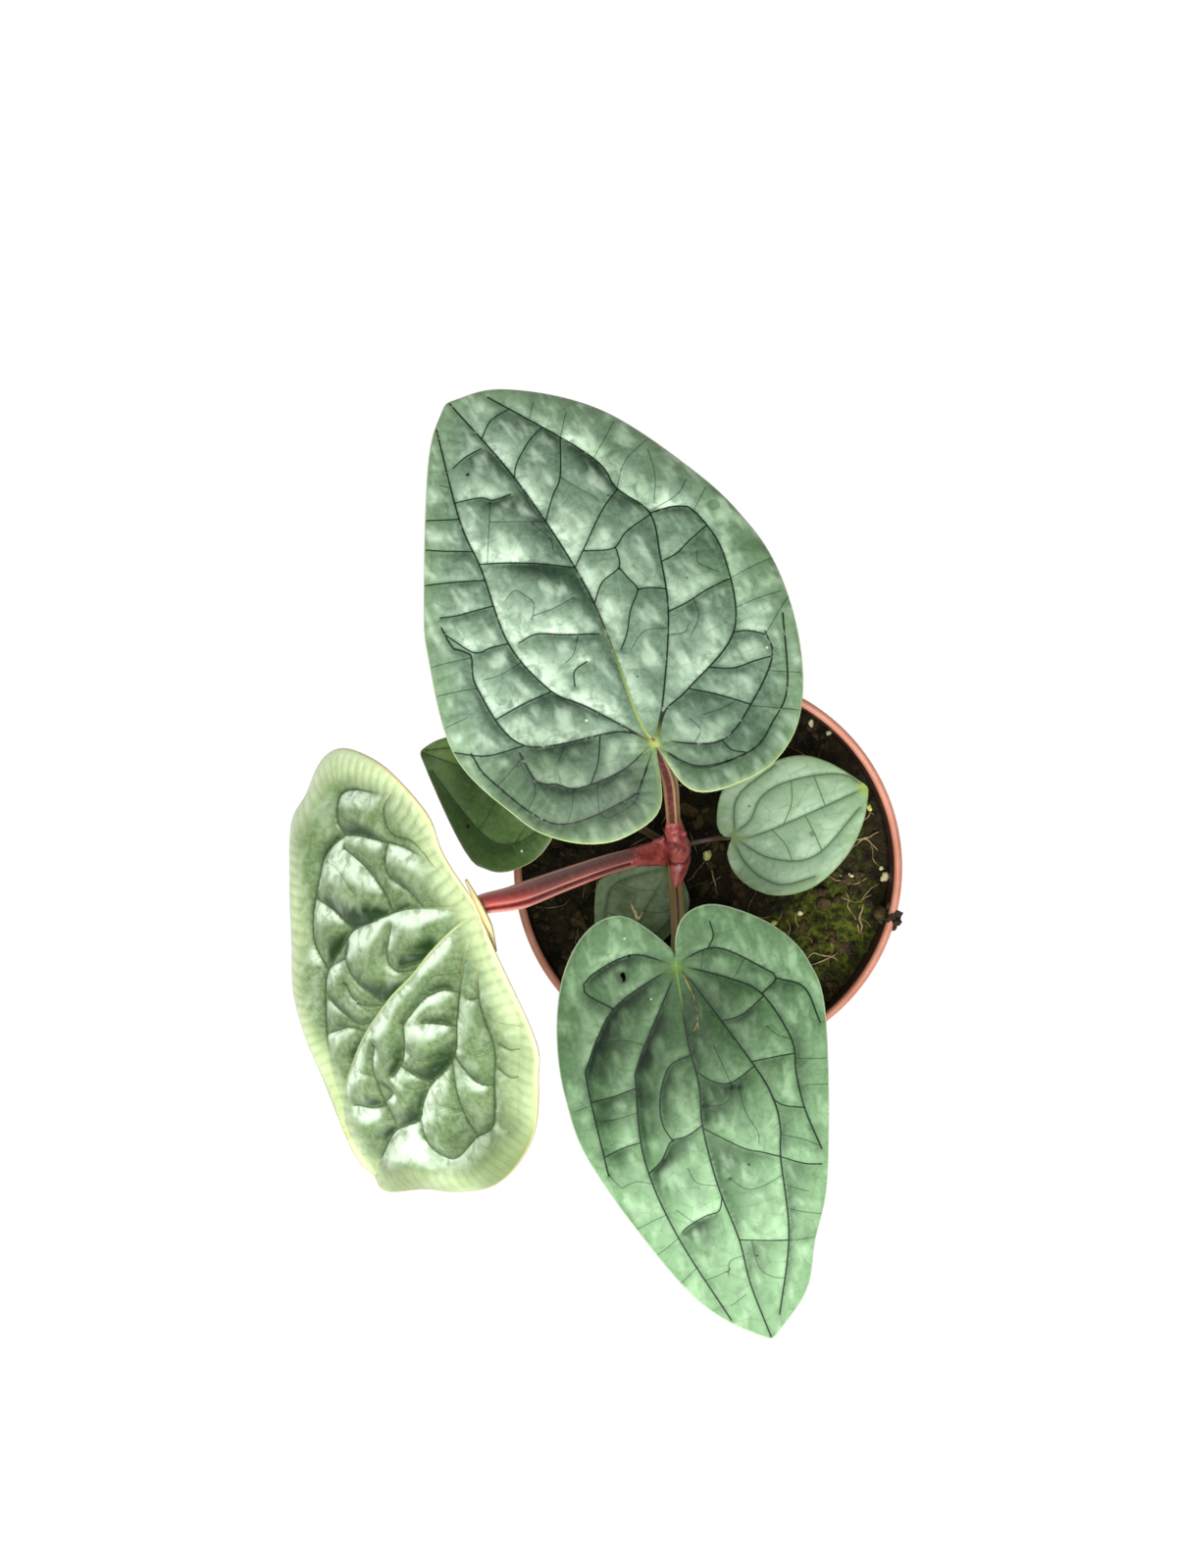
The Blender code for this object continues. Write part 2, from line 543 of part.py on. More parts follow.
def seat(leaf_name, end_half_width):
    """Where a petiole ends under its blade, and the point before it, which sets its direction."""
    frame = leaf_frame(LEAVES[leaf_name])
    under = BLADE_THICKNESS / 2 + FIT_GAP
    end = frame @ Vector((0.0, SEAT_STEP, -under))
    return end, frame @ Vector((0.0, SEAT_STEP, -under - end_half_width))


PETIOLES = {
    "top": dict(
        sheath=[(-11.6, 9.5, 113.5), (-12.0, 12.0, 115.5), (-12.3, 15.5, 119.5)],
        route=[(-12.4, 15.9, 120.0), (-13.4, 22.0, 130.0), (-14.8, 27.5, 142.0),
               (-17.6, 33.0, 155.0)],
        widths=[(0.0, 2.5), (0.5, 2.1), (0.85, 1.9), (1.0, 1.5)],
        colour="petiole_red", sheath_half=3.0),
    "left": dict(
        sheath=[(-14.0, 6.6, 112.0), (-17.5, 5.8, 114.0), (-21.5, 5.0, 118.0)],
        route=[(-22.0, 4.9, 118.5), (-32.0, 2.8, 128.0), (-44.0, -0.6, 140.0),
               (-56.0, -4.2, 153.0)],
        widths=[(0.0, 2.9), (0.5, 2.9), (0.85, 2.8), (1.0, 1.9)],
        colour="petiole_red", sheath_half=3.6),
    "bottom": dict(
        sheath=[(-11.4, 4.4, 110.0), (-11.3, 1.5, 111.5), (-11.3, -2.5, 114.5)],
        route=[(-11.3, -3.0, 114.9), (-11.2, -9.5, 121.0), (-11.5, -16.5, 129.5),
               (-12.5, -22.0, 138.0)],
        widths=[(0.0, 2.0), (0.5, 1.7), (0.85, 1.4), (1.0, 1.2)],
        colour="petiole_olive", sheath_half=2.6),
    "right": dict(
        route=[(-7.6, 7.2, 97.5), (-3.0, 8.2, 98.2), (2.0, 9.2, 99.5)],
        widths=[(0.0, 0.9), (0.6, 0.75), (1.0, 0.7)],
        colour="petiole_olive"),
    "centre": dict(
        route=[(-11.8, 3.1, 94.5), (-12.0, 1.6, 95.0), (-12.3, 0.2, 96.0)],
        widths=[(0.0, 0.9), (0.6, 0.8), (1.0, 0.7)],
        colour="petiole_olive"),
    "dark": dict(
        route=[(-14.9, 8.8, 102.0), (-24.0, 14.0, 106.0), (-34.0, 17.5, 112.0),
               (-42.0, 19.6, 117.5)],
        widths=[(0.0, 1.2), (0.5, 1.1), (1.0, 0.9)],
        colour="petiole_olive"),
}
PETIOLE_STEP = 5.5
THIN_STEP = 3.5
SHEATH_STEP = 3.0
SHEATH_FULL = 0.6            # a sheath keeps its full width over this share of its length


def make_petiole(leaf_name, spec):
    """A grooved leaf stalk from the stem to its blade's underside."""
    thick = "sheath" in spec
    end_half = spec["widths"][-1][1]
    end, before = seat(leaf_name, end_half)
    route = [*spec["route"], tuple(before), tuple(end)]
    start = Vector(spec["route"][0])
    inward = (Vector((start.x, start.y)) - Vector((end.x, end.y))).normalized()
    bm = swept(route, spec["widths"], PETIOLE_SECTION if thick else THIN_SECTION,
               PETIOLE_STEP if thick else THIN_STEP, inward)
    return add_object(f"petiole_{leaf_name}", bm, spec["colour"])


def make_stem():
    """The stem with its leaf scars and the red crown, whose sheaths clasp the three big stalks."""
    bm = turned([(radius, height) for height, radius in STEM_PROFILE], STEM_SIDES,
                (STEM_X, STEM_Y))
    stem = add_object("stem", bm, "stem")
    sheaths = []
    for leaf_name, spec in PETIOLES.items():
        if "sheath" not in spec:
            continue
        route = spec["sheath"]
        inward = (Vector(route[0][:2]) - Vector(route[-1][:2])).normalized()
        end_half = spec["widths"][0][1]
        half = [(0.0, spec["sheath_half"]), (SHEATH_FULL, spec["sheath_half"]), (1.0, end_half)]
        bm = swept(route, half, PETIOLE_SECTION, SHEATH_STEP, inward)
        sheaths.append(add_object(f"sheath_{leaf_name}", bm, "stem"))
    apply_booleans(stem, sheaths, "UNION")
    return stem


# Pot and soil

def wall_radius(height):
    """The pot body's outer radius below the collar."""
    return BASE_RADIUS + (SHOULDER_RADIUS - BASE_RADIUS) * height / COLLAR_BOTTOM


def make_pot():
    """The nursery pot: tapered wall, stepped collar, rolled rim and a drained floor."""
    inner_floor = FLOOR_LIFT + POT_WALL
    foot_inner = BASE_RADIUS - FOOT_WIDTH
    rim_centre = (RIM_RADIUS - RIM_ROLL, POT_HEIGHT - RIM_ROLL)
    lip = [(rim_centre[0] + RIM_ROLL * math.cos(turn), rim_centre[1] + RIM_ROLL * math.sin(turn))
           for turn in (math.radians(angle) for angle in LIP_ANGLES)]
    profile = [
        (0.0, 0.0),
        (CENTRE_DISC_RADIUS, 0.0),
        (CENTRE_DISC_RADIUS + FOOT_SLOPE, FLOOR_LIFT),
        (foot_inner - FOOT_SLOPE, FLOOR_LIFT),
        (foot_inner, 0.0),
        (BASE_RADIUS - BASE_BEVEL, 0.0),
        (wall_radius(BASE_BEVEL), BASE_BEVEL),
        (wall_radius(COLLAR_BOTTOM - STEP_BELOW), COLLAR_BOTTOM - STEP_BELOW),
        (COLLAR_RADIUS, COLLAR_BOTTOM),
        (COLLAR_RADIUS, rim_centre[1] - RIM_ROLL),
        *lip,
        (COLLAR_RADIUS - POT_WALL, COLLAR_BOTTOM + STEP_ABOVE),
        (wall_radius(COLLAR_BOTTOM) - POT_WALL, COLLAR_BOTTOM - STEP_BELOW),
        (wall_radius(inner_floor) - POT_WALL, inner_floor),
        (CENTRE_DISC_RADIUS + FOOT_SLOPE - DISC_INSET, inner_floor),
        (CENTRE_DISC_RADIUS - DISC_INSET, POT_WALL),
        (0.0, POT_WALL),
    ]
    pot = add_object("pot", turned(profile, POT_SEGMENTS), "pot", POT_SMOOTH_ANGLE)
    drains = []
    for number in range(DRAIN_COUNT):
        turn = math.tau * (number + 0.5) / DRAIN_COUNT
        low, high = -CUT_OVERSHOOT, inner_floor + CUT_OVERSHOOT
        hole = turned([(0.0, low), (DRAIN_RADIUS, low), (DRAIN_RADIUS, high), (0.0, high)],
                      DRAIN_SEGMENTS,
                      (DRAIN_CIRCLE * math.cos(turn), DRAIN_CIRCLE * math.sin(turn)))
        drains.append(add_object(f"drain_{number}", hole, None))
    apply_booleans(pot, drains, "DIFFERENCE")
    return pot


def soil_surface(x, y):
    """The soil's height: crumbs and hollows, with a low mound round the stem."""
    coarse = noise.noise(Vector((x / COARSE_LUMP, y / COARSE_LUMP, COARSE_LAYER)))
    fine = noise.noise(Vector((x / FINE_LUMP, y / FINE_LUMP, FINE_LAYER)))
    mound = MOUND_HEIGHT * math.exp(-math.hypot(x - STEM_X, y - STEM_Y) / MOUND_REACH)
    return SOIL_LEVEL + SOIL_RELIEF * (coarse + FINE_LUMP_SHARE * fine) + mound


def make_soil():
    """The soil: it fills the pot to below the rim and has a plain hole for the stem."""
    floor = FLOOR_LIFT + POT_WALL + FIT_GAP
    top_radius = COLLAR_RADIUS - POT_WALL - FIT_GAP
    neck = wall_radius(COLLAR_BOTTOM) - POT_WALL - FIT_GAP
    foot = wall_radius(floor) - POT_WALL - FIT_GAP
    turns = [math.tau * i / SOIL_SEGMENTS for i in range(SOIL_SEGMENTS)]
    circle = np.array([(math.cos(turn), math.sin(turn)) for turn in turns])
    points, faces = triangulated(circle * top_radius, [], SOIL_GRID)
    bm = bmesh.new()
    surface = [bm.verts.new((x, y, soil_surface(x, y))) for x, y in points]
    for face in faces:
        bm.faces.new([surface[i] for i in face])
    rim = []
    for x, y in circle * top_radius:
        rim.append(surface[int(np.hypot(points[:, 0] - x, points[:, 1] - y).argmin())])
    rings = [rim]
    for radius, height in ((top_radius, COLLAR_BOTTOM + STEP_ABOVE + SOIL_STEP_LIFT),
                           (neck, COLLAR_BOTTOM - STEP_BELOW + SOIL_STEP_LIFT), (foot, floor)):
        rings.append([bm.verts.new((x, y, height)) for x, y in circle * radius])
    for upper, lower in zip(rings, rings[1:]):
        for i in range(SOIL_SEGMENTS):
            j = (i + 1) % SOIL_SEGMENTS
            bm.faces.new([upper[i], lower[i], lower[j]])
            bm.faces.new([upper[i], lower[j], upper[j]])
    bm.faces.new(list(reversed(rings[-1])))
    bmesh.ops.triangulate(bm, faces=[face for face in bm.faces if len(face.verts) > 4])
    bmesh.ops.recalc_face_normals(bm, faces=bm.faces)
    soil = add_object("soil", bm, "soil", SOIL_SMOOTH_ANGLE)
    hole = turned([(0.0, STEM_HOLE_FLOOR), (STEM_HOLE_RADIUS, STEM_HOLE_FLOOR),
                   (STEM_HOLE_RADIUS, POT_HEIGHT), (0.0, POT_HEIGHT)], STEM_SIDES,
                  (STEM_X, STEM_Y))
    apply_booleans(soil, [add_object("stem_hole", hole, None)], "DIFFERENCE")
    return soil


BLADE_COLOURS = {
    "top": "blade_silver",
    "left": "blade_yellow",
    "bottom": "blade_light",
    "right": "blade_pale",
    "centre": "blade_light",
    "dark": "blade_dark",
}


def main():
    clear_scene()
    make_pot()
    make_soil()
    make_stem()
    for leaf_name, spec in PETIOLES.items():
        make_petiole(leaf_name, spec)
    for leaf_name, leaf in LEAVES.items():
        make_blade(f"blade_{leaf_name}", leaf, BLADE_COLOURS[leaf_name])


main()
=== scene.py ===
"""Looks of the potted anthurium: fine leaf blades, stalks, crown, soil and pot round the frame.

The tables repeat the sizes of the part's source, in millimetres, and the pieces are made in metres.
Each leaf blade is drawn in its own frame: x to the right of the midrib, y towards the tip and z up
from the blade, with the petiole joint at the frame's origin.
"""
import math
import random

import bmesh
import bpy
import numpy as np
from mathutils import Matrix, Vector, kdtree, noise
from mathutils.geometry import delaunay_2d_cdt


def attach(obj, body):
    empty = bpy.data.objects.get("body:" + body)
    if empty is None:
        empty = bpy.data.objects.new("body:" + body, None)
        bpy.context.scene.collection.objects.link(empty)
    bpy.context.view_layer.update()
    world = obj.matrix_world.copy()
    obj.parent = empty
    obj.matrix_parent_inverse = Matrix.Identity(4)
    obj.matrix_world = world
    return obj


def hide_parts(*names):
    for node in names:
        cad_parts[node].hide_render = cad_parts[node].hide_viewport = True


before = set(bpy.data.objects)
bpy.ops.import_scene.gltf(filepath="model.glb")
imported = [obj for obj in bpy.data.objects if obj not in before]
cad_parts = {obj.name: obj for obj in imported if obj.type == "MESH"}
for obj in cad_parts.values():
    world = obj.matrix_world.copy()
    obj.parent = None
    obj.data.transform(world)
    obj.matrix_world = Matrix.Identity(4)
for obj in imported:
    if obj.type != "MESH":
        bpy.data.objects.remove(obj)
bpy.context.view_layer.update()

MM = 0.001

# Camera, straight above the pot
CAMERA_PLACE = (-0.0369, 0.02585, 0.51785)
CAMERA_LENS = 31.52
CAMERA_SENSOR = 36.0

# Pot
POT_HEIGHT = 95.0
RIM_RADIUS = 60.0
COLLAR_RADIUS = 59.2
COLLAR_BOTTOM = 78.0
SHOULDER_RADIUS = 57.2
BASE_RADIUS = 43.0
BASE_BEVEL = 0.8
BASE_RISE = 1.0
POT_WALL = 1.3
RIM_ROLL = 1.3               # radius of the rolled lip
LIP_ANGLES = range(-35, 181, 18)
STEP_ABOVE = 2.0             # inside the collar's step, above and below its edge
STEP_BELOW = 1.0
EDGE_ROUNDING = 0.35
ROUNDING_STEPS = 3
FOOT_WIDTH = 5.5
FOOT_SLOPE = 1.5
DISC_INSET = 2.0             # the disc's upper side is smaller than its foot by this much
FLOOR_LIFT = 2.0
CENTRE_DISC_RADIUS = 15.0
DRAIN_COUNT = 8
DRAIN_RADIUS = 3.5
DRAIN_CIRCLE = 27.0
DRAIN_SEGMENTS = 32
CUT_OVERSHOOT = 1.0          # a cutter reaches this far past what it cuts
POT_SEGMENTS = 192
POT_SMOOTH_ANGLE = 35.0
INNER_SHADE_END = 0.4              # the painted shade inside the wall ends this far below the rim's top
INNER_SHADE_FULL = 2.0

# Soil
SOIL_LEVEL = 86.0
SOIL_RELIEF = 1.5
COARSE_LUMP = 11.0           # size of the soil's lumps
FINE_LUMP = 5.0
FINE_LUMP_SHARE = 0.45
COARSE_LAYER = 3.7           # which layer of the noise the lumps are read from
FINE_LAYER = 9.1
MOUND_HEIGHT = 2.0           # the soil rises towards the stem
MOUND_REACH = 12.0
SOIL_GRID = 0.75
SOIL_STEP_LIFT = 0.1         # keeps the soil's step clear of the collar's
CRUMB_RELIEF = 0.9
FIT_GAP = 0.3

# Stem
STEM_X = -11.6
STEM_Y = 7.0
STEM_PROFILE = [             # height, radius
    (61.3, 0.0), (61.3, 2.2), (64.0, 3.2), (90.0, 3.6), (91.5, 4.0), (93.0, 3.5), (97.0, 3.3),
    (98.5, 3.8), (100.0, 3.3), (105.0, 3.3), (109.0, 4.0), (113.0, 4.4), (116.0, 3.8),
    (118.5, 2.4), (121.0, 0.9), (122.0, 0.0),
]

# Blades
BLADE_THICKNESS = 0.9
EDGE_THIN = 0.55             # share of the thickness left at the margin
EDGE_THIN_WIDTH = 1.5
BLADE_GRID = 0.62
GRID_CLEARANCE = 0.62        # inner points keep this share of the spacing from every line
MARGIN_CLEARANCE = 0.5       # veins end this share of the spacing inside the margin
MERGE_REACH = 1e-4
CURVE_STEP = 2.0
LINE_STEP = 0.5
HOLE_STEP = 0.3
VEIN_START = 3.0             # side veins start this far from the joint
FAR = 99.0                   # stands for the distance to a kind of vein that a leaf lacks
ON_LINE = 0.02
JOIN_REACH = 1.8             # a vein's end this close to another line is moved onto it
LOBE_SHARE = 0.25            # the lobes reach this share of the length behind the joint
LOBE_POWER = 1.5
PUFF_ROUNDS = 220
FINE_SHARE = 0.8             # fine veins keep this share of the quilting's height
PLEAT_STEP = 3.6
PLEAT_SWAY = 1.5             # radians by which the pleats' rhythm sways along the margin
PLEAT_SWAY_REACH = 9.0
PLEAT_START = 2.5            # the pleats reach full depth this far inside the margin
PLEAT_END = 7.0              # and fade out beyond this
PLEAT_FADE = 4.0
NET_CELL = 6.0
NET_JITTER = 0.36
NET_ROW = 0.87
NET_WIDTH = 2.0
TIP_REACH = 2.0              # the outline is softened this close to the tip
TIP_ROUNDS = 12

# Places are in millimetres, angles in degrees. base is the petiole joint. droop, curl and lobe_drop
# are how far the tip, the two sides and the lobes hang. bulge and puff_reach shape the quilting, which
# keeps margin_rise at the margin and cross_share on cross veins. net and pleat are the depths of the
# finest veins and of the margin's pleats. shine_from is the direction in the plan that the slopes face
# where a leaf's colour is painted with a highlight; the slopes facing away are painted with shade.
LEAVES = {
    "top": dict(
        base=(-20.0, 36.3, 165.0), heading=120.7, pitch=9.6, roll=4.0,
        length=116.8, half_width=46.0, droop=14.0, curl=(7.0, 5.0), lobe_drop=3.0, bulge=0.058,
        puff_reach=16.0, margin_rise=0.02, net=0.10, pleat=0.12, cross_share=0.25,
        shine_from=(-0.2, -0.98),
        left_edge=[(0, -1), (-7, -15), (-18, -17), (-27, -14), (-35, -7), (-40, 2), (-46, 25),
                   (-39, 52), (-32, 67), (-11, 103), (1, 116)],
        right_edge=[(0, -1), (1, -13), (6, -18), (17, -20), (26, -19), (35, -14), (43, -4),
                    (50, 11), (54, 27), (54, 41), (50, 60), (37, 91), (17, 111), (1, 116)],
        veins=dict(
            midrib=[(0, 0), (0, 9), (6, 43), (6, 81), (2, 115)],
            right_1=[(1, 1), (8, 9), (21, 28), (28, 44), (32, 56), (28, 67), (27, 79), (12, 111)],
            right_2=[(2, 1), (7, 6), (15, 8), (34, 16), (43, 36), (43, 50), (40, 54), (32, 56)],
            right_3=[(1, 0), (15, -8), (28, -3), (39, 5), (41, 12)],
            right_4=[(0, -1), (7, -11), (21, -14), (30, -10), (38, -4), (48, 14)],
            left_1=[(0, 0), (-10, 17), (-16, 26), (-19, 43), (-15, 65), (-13, 81), (-5, 110)],
            left_2=[(-1, 1), (-6, 7), (-29, 17), (-32, 37), (-29, 46), (-32, 50), (-32, 57)],
            left_3=[(-1, 0), (-11, -2), (-23, 0), (-27, 4), (-31, 7), (-31, 16)],
            left_4=[(-1, -1), (-8, -7), (-13, -9), (-32, -5), (-41, 14), (-42, 23)],
        ),
        cross=[
            [(6, 52), (0, 57), (-6.5, 61.5), (-14, 66.5)], [(2.5, 97), (-2.5, 97), (-7, 96)],
            [(-10, 86), (-5, 83.5), (-2.5, 81), (2.5, 80)],
            [(6.5, 52), (12, 56), (21.5, 63), (27.5, 66.5)],
            [(6, 84), (8.5, 87.5), (15, 92), (19.5, 94)], [(4, 99.5), (9, 103.5), (15, 104)],
            [(6.5, 68), (12, 73.5), (16.5, 77.5), (23.5, 89)],
            [(11.5, 54.5), (18, 51.5), (23.5, 54), (30.5, 55.5)],
            [(5.5, 40.5), (10.5, 44.5), (16.5, 46), (18.5, 50.5)],
            [(16.5, 46), (17, 42), (17.5, 38), (13, 34), (9, 29), (5.5, 26)],
            [(17.5, 38), (20.5, 37), (23.5, 35)], [(27.5, 42), (32, 42), (36.5, 43.5), (42, 45.5)],
            [(21.5, 28.5), (27, 28.5), (33, 29), (40, 29.5)],
            [(22.5, 11), (28, 7), (34, 6), (38.5, 5.5)], [(15, 7.5), (20.5, 3), (26.5, -3)],
            [(33, 16), (37, 14), (42, 10.5)], [(-16.5, 41.5), (-11.5, 41), (-5.5, 37), (2.5, 32.5)],
            [(-16.5, 62), (-23, 66), (-29, 69.5)], [(-15, 71), (-21, 75.5), (-24.5, 78.5)],
            [(-13, 81.5), (-16.5, 83.5), (-20.5, 86)], [(-18, 54.5), (-26, 57), (-31, 59.5)],
            [(-19, 43), (-23.5, 44.5), (-28, 46), (-33.5, 55)],
            [(-16, 25.5), (-23.5, 26.5), (-30.5, 27)], [(-11, 8), (-15, 3), (-19.5, -1)],
            [(-29, 17), (-38.5, 20), (-45, 26)],
            [(-10, 23.5), (-8, 27), (-4, 27.5)], [(15.5, -7.5), (16.5, -11.5), (19.5, -14.5)],
        ],
        fine=[
            [(-3, 81.5), (-7.5, 74), (-12, 67)], [(16.5, 77), (18.5, 72.5), (22, 66)],
            [(-6.5, 75.5), (-1, 72), (6, 68)], [(29.5, 27), (27.5, 23.5), (22.5, 19.5)],
            [(37, 40), (35.5, 36.5), (39, 32)], [(40, 29), (48.5, 29), (53.5, 29)],
            [(37, 21.5), (44, 20.5), (50.5, 19.5)], [(42, 11), (47.5, 15), (51.5, 17.5)],
            [(36, 1.5), (43, -2.5)], [(26.5, -4), (37, -10.5)], [(43, 51), (49.5, 55.5)],
            [(34.5, 58), (39, 65), (41.5, 73)], [(27.5, 66.5), (34, 72.5), (42.5, 76)],
            [(27.5, 78), (33.5, 82), (38, 85.5)], [(23.5, 89), (28, 94.5)],
            [(31.5, 56.5), (41, 57), (46, 60)], [(18.5, 98), (22, 102.5)], [(-12.5, 93.5), (-10.5, 91)],
            [(-29, 45), (-39.5, 49)], [(-32.5, 37), (-41.5, 41)],
            [(-29.5, 38), (-25, 36.5), (-19, 36.5)], [(-23, 9), (-19.5, 12)],
            [(-31, 14.5), (-35.5, 13), (-40, 12)], [(-29.5, 8.5), (-33, 4.5), (-38, 1.5)],
            [(-23.5, 0.5), (-26.5, -3.5), (-29.5, -6)], [(-18, -1.5), (-21.5, -8)],
            [(-9.5, 30), (-6, 31), (-3, 33.5)],
            [(-5, -3.5), (-11, -10), (-15, -11), (-20, -10.5), (-21.5, -8)],
            [(2, -3.5), (4, -9), (9, -12.5), (15.5, -13.5)], [(11, 1), (12, -3), (9.5, -4.5)],
            [(14.5, 0), (20, -1), (25, -0.5)], [(7.5, 24.5), (13, 27), (18, 25.5)],
            [(-9.5, 45.5), (-4, 44.5), (2, 44.5)], [(-38, 31.5), (-43.5, 32.5)],
            [(4, 59), (5, 63), (3, 69)], [(18.5, 23), (22, 21.5), (24, 23)],
            [(-14, 53.5), (-10.5, 54.5), (-9, 52), (-8, 48.5), (-10.5, 45)],
        ],
    ),
    "left": dict(
        base=(-65.6, -5.8, 162.0), heading=-125.0, pitch=28.0, roll=18.0,
        length=115.0, half_width=52.0, droop=16.0, curl=(8.0, 8.0), lobe_drop=2.0, bulge=0.13,
        puff_reach=14.0, margin_rise=0.05, net=0.10, pleat=0.30, cross_share=0.08,
        shine_from=(-0.35, 0.94),
        left_edge=[(1, -1), (-31, 17), (-40, 29), (-47, 44), (-49, 59), (-47, 73), (-40, 85),
                   (-32, 94), (-24, 107), (-20, 110)],
        right_edge=[(1, -1), (16, -4), (25, -8), (37, -8), (50, -5), (63, 3), (68, 13), (67, 25),
                    (67, 37), (58, 49), (45, 65), (36, 78), (25, 86), (11, 93), (-9, 107),
                    (-17, 107), (-20, 110)],
        veins=dict(
            midrib=[(-1.5, 1), (1.5, 10), (3.5, 22), (4.5, 33), (6.5, 45.5), (7.5, 61.5),
                    (6.5, 75.5), (4.5, 89.5), (-1.5, 101), (-9, 104.5), (-17, 106)],
            right_1=[(0.5, 1.5), (13, 14), (19, 22), (24, 32), (27.5, 39.5), (28, 48),
                     (28.5, 57.5), (26.5, 64), (18.5, 77.5), (13, 85), (4.5, 92.5)],
            right_2=[(1, 1.5), (7, 2), (15.5, 1.5), (21, 2.5), (28, 5.5), (34.5, 10), (43.5, 17),
                     (47, 22), (49, 31.5), (47, 38.5), (44.5, 45.5), (41.5, 51.5), (37, 56.5),
                     (29, 58)],
            right_3=[(2.5, 1.5), (9, 0.5), (17, -0.5), (23.5, -2), (32.5, -3), (39, -2.5),
                     (44, 1.5), (51.5, 7.5), (55, 12.5), (54, 17), (50.5, 20), (46, 19.5)],
            left_1=[(-2, 1.5), (-3, 8.5), (-5.5, 15.5), (-8.5, 22.5), (-12.5, 31), (-18, 43),
                    (-17, 57.5), (-18, 65.5), (-19.5, 72), (-15.5, 83), (-15.5, 91.5),
                    (-16, 100.5)],
            left_2=[(-3, 2.5), (-7, 9.5), (-10.5, 15), (-14, 20.5), (-18.5, 25), (-23.5, 28.5),
                    (-27, 32.5), (-31, 40.5), (-35, 47.5), (-37.5, 54.5), (-35.5, 61.5)],
            left_3=[(-5, 4.5), (-8, 8), (-14, 12), (-20, 14.5), (-25.5, 17), (-29, 21),
                    (-32.5, 28), (-36, 35), (-41.5, 45.5), (-41.5, 51)],
        ),
        cross=[
            [(44, 23), (34, 20), (25.5, 20), (19.5, 22)],
            [(32, 9), (30, 13), (26, 15), (19, 13), (12.5, 13)],
            [(40, -2.5), (39, 3), (33, 5.5), (25.5, 1.5), (16.5, 1.5)],
            [(44, 44.5), (36.5, 40.5), (27.5, 38.5)], [(28.5, 42.5), (25, 49), (17.5, 50.5), (8, 47.5)],
            [(17.5, 26.5), (14, 34.5), (9, 35.5), (4, 29.5)], [(28.5, 57), (25.5, 48), (28.5, 42.5)],
            [(23.5, 65.5), (16, 63.5), (9.5, 60.5), (6.5, 52)], [(17.5, 76.5), (13, 66), (7, 61.5)],
            [(-5.5, 42), (-9, 38), (-14, 33.5)], [(-1.5, 48.5), (-4.5, 53), (-6.5, 58.5), (-6.5, 66)],
            [(3, 63), (0.5, 69.5), (-5.5, 74.5), (-14, 80)], [(-1.5, 87.5), (-5.5, 83.5), (-9, 77.5)],
            [(-7, 60), (-12.5, 58.5), (-17, 56.5)],
            [(-18, 42.5), (-24.5, 44), (-28.5, 43.5), (-32, 40.5)],
            [(-36, 60.5), (-30.5, 57.5), (-24.5, 52.5), (-19, 44.5)],
            [(-26, 28), (-29, 27.5), (-31.5, 25)], [(-30, 34.5), (-33.5, 35), (-35.5, 32.5)],
            [(-21, 71), (-25, 76.5), (-30.5, 76.5), (-34.5, 73), (-35.5, 61)],
            [(-10.5, 24), (-5.5, 27.5), (-2, 35.5), (-1, 48)], [(20.5, 55.5), (14, 56), (7.5, 48.5)],
            [(-12.5, 24), (-15.5, 20.5)], [(-8, 77.5), (-9, 71), (-4, 72.5)], [(8, 33), (4, 25.5)],
        ],
        fine=[
            [(21, 40.5), (17.5, 44), (17.5, 50)], [(48, 33), (41.5, 28), (32.5, 27.5)],
            [(53, 17.5), (47.5, 15.5), (39.5, 12)], [(-0.5, 31), (-1.5, 25.5), (-5.5, 19.5)],
            [(-5.5, 54), (-11, 52), (-16, 45)], [(-7, 67.5), (-13, 63.5), (-17, 57.5)],
            [(-19.5, 37), (-24, 35.5), (-26.5, 30.5)], [(-22.5, 59.5), (-26.5, 57), (-32, 55.5)],
            [(3.5, 76), (-2.5, 70.5)], [(16.5, 57.5), (11, 55.5), (7.5, 50)], [(-23, 22), (-27.5, 19)],
            [(-19.5, 57), (-25.5, 65.5), (-32, 68)], [(15, 23.5), (9.5, 26.5), (3.5, 20.5)],
        ],
    ),
    "bottom": dict(
        base=(-13.1, -23.8, 143.0), heading=-75.2, pitch=6.4, roll=0.0,
        length=118.4, half_width=40.0, droop=12.0, curl=(5.0, 5.0), lobe_drop=3.0, bulge=0.066,
        puff_reach=16.0, margin_rise=0.02, net=0.10, pleat=0.08, cross_share=0.25,
        shine_from=(0.68, -0.73),
        holes=[
            [(14.0, -1.9), (14.8, -2.1), (15.3, -1.2), (14.9, -0.5), (15.2, 0.4), (14.5, 0.6),
             (14.0, -0.4)],
            [(11.2, -6.2), (11.6, -6.5), (11.9, -6.1), (11.6, -5.6)],
        ],
        left_edge=[(0, 0), (-2, -8), (-6, -13), (-13, -14), (-21, -10), (-30, -2), (-36, 9),
                   (-37, 26), (-27, 71), (-19, 90), (-13, 105), (0, 118)],
        right_edge=[(0, 0), (0, -5), (9, -16), (17, -17), (25, -12), (32, -2), (37, 13), (39, 30),
                    (37, 51), (23, 89), (13, 106), (0, 118)],
        veins=dict(
            midrib=[(0, 0), (2, 22), (2, 34), (4, 47), (4, 65), (2, 83), (2, 98), (0, 117)],
            left_1=[(0, 1), (-3, 5), (-14, 33), (-17, 44), (-17, 53), (-15, 62), (-12, 86),
                    (-4, 110)],
            left_2=[(-1, 0), (-13, 7), (-21, 14), (-26, 29), (-25, 39), (-25, 50), (-27, 63)],
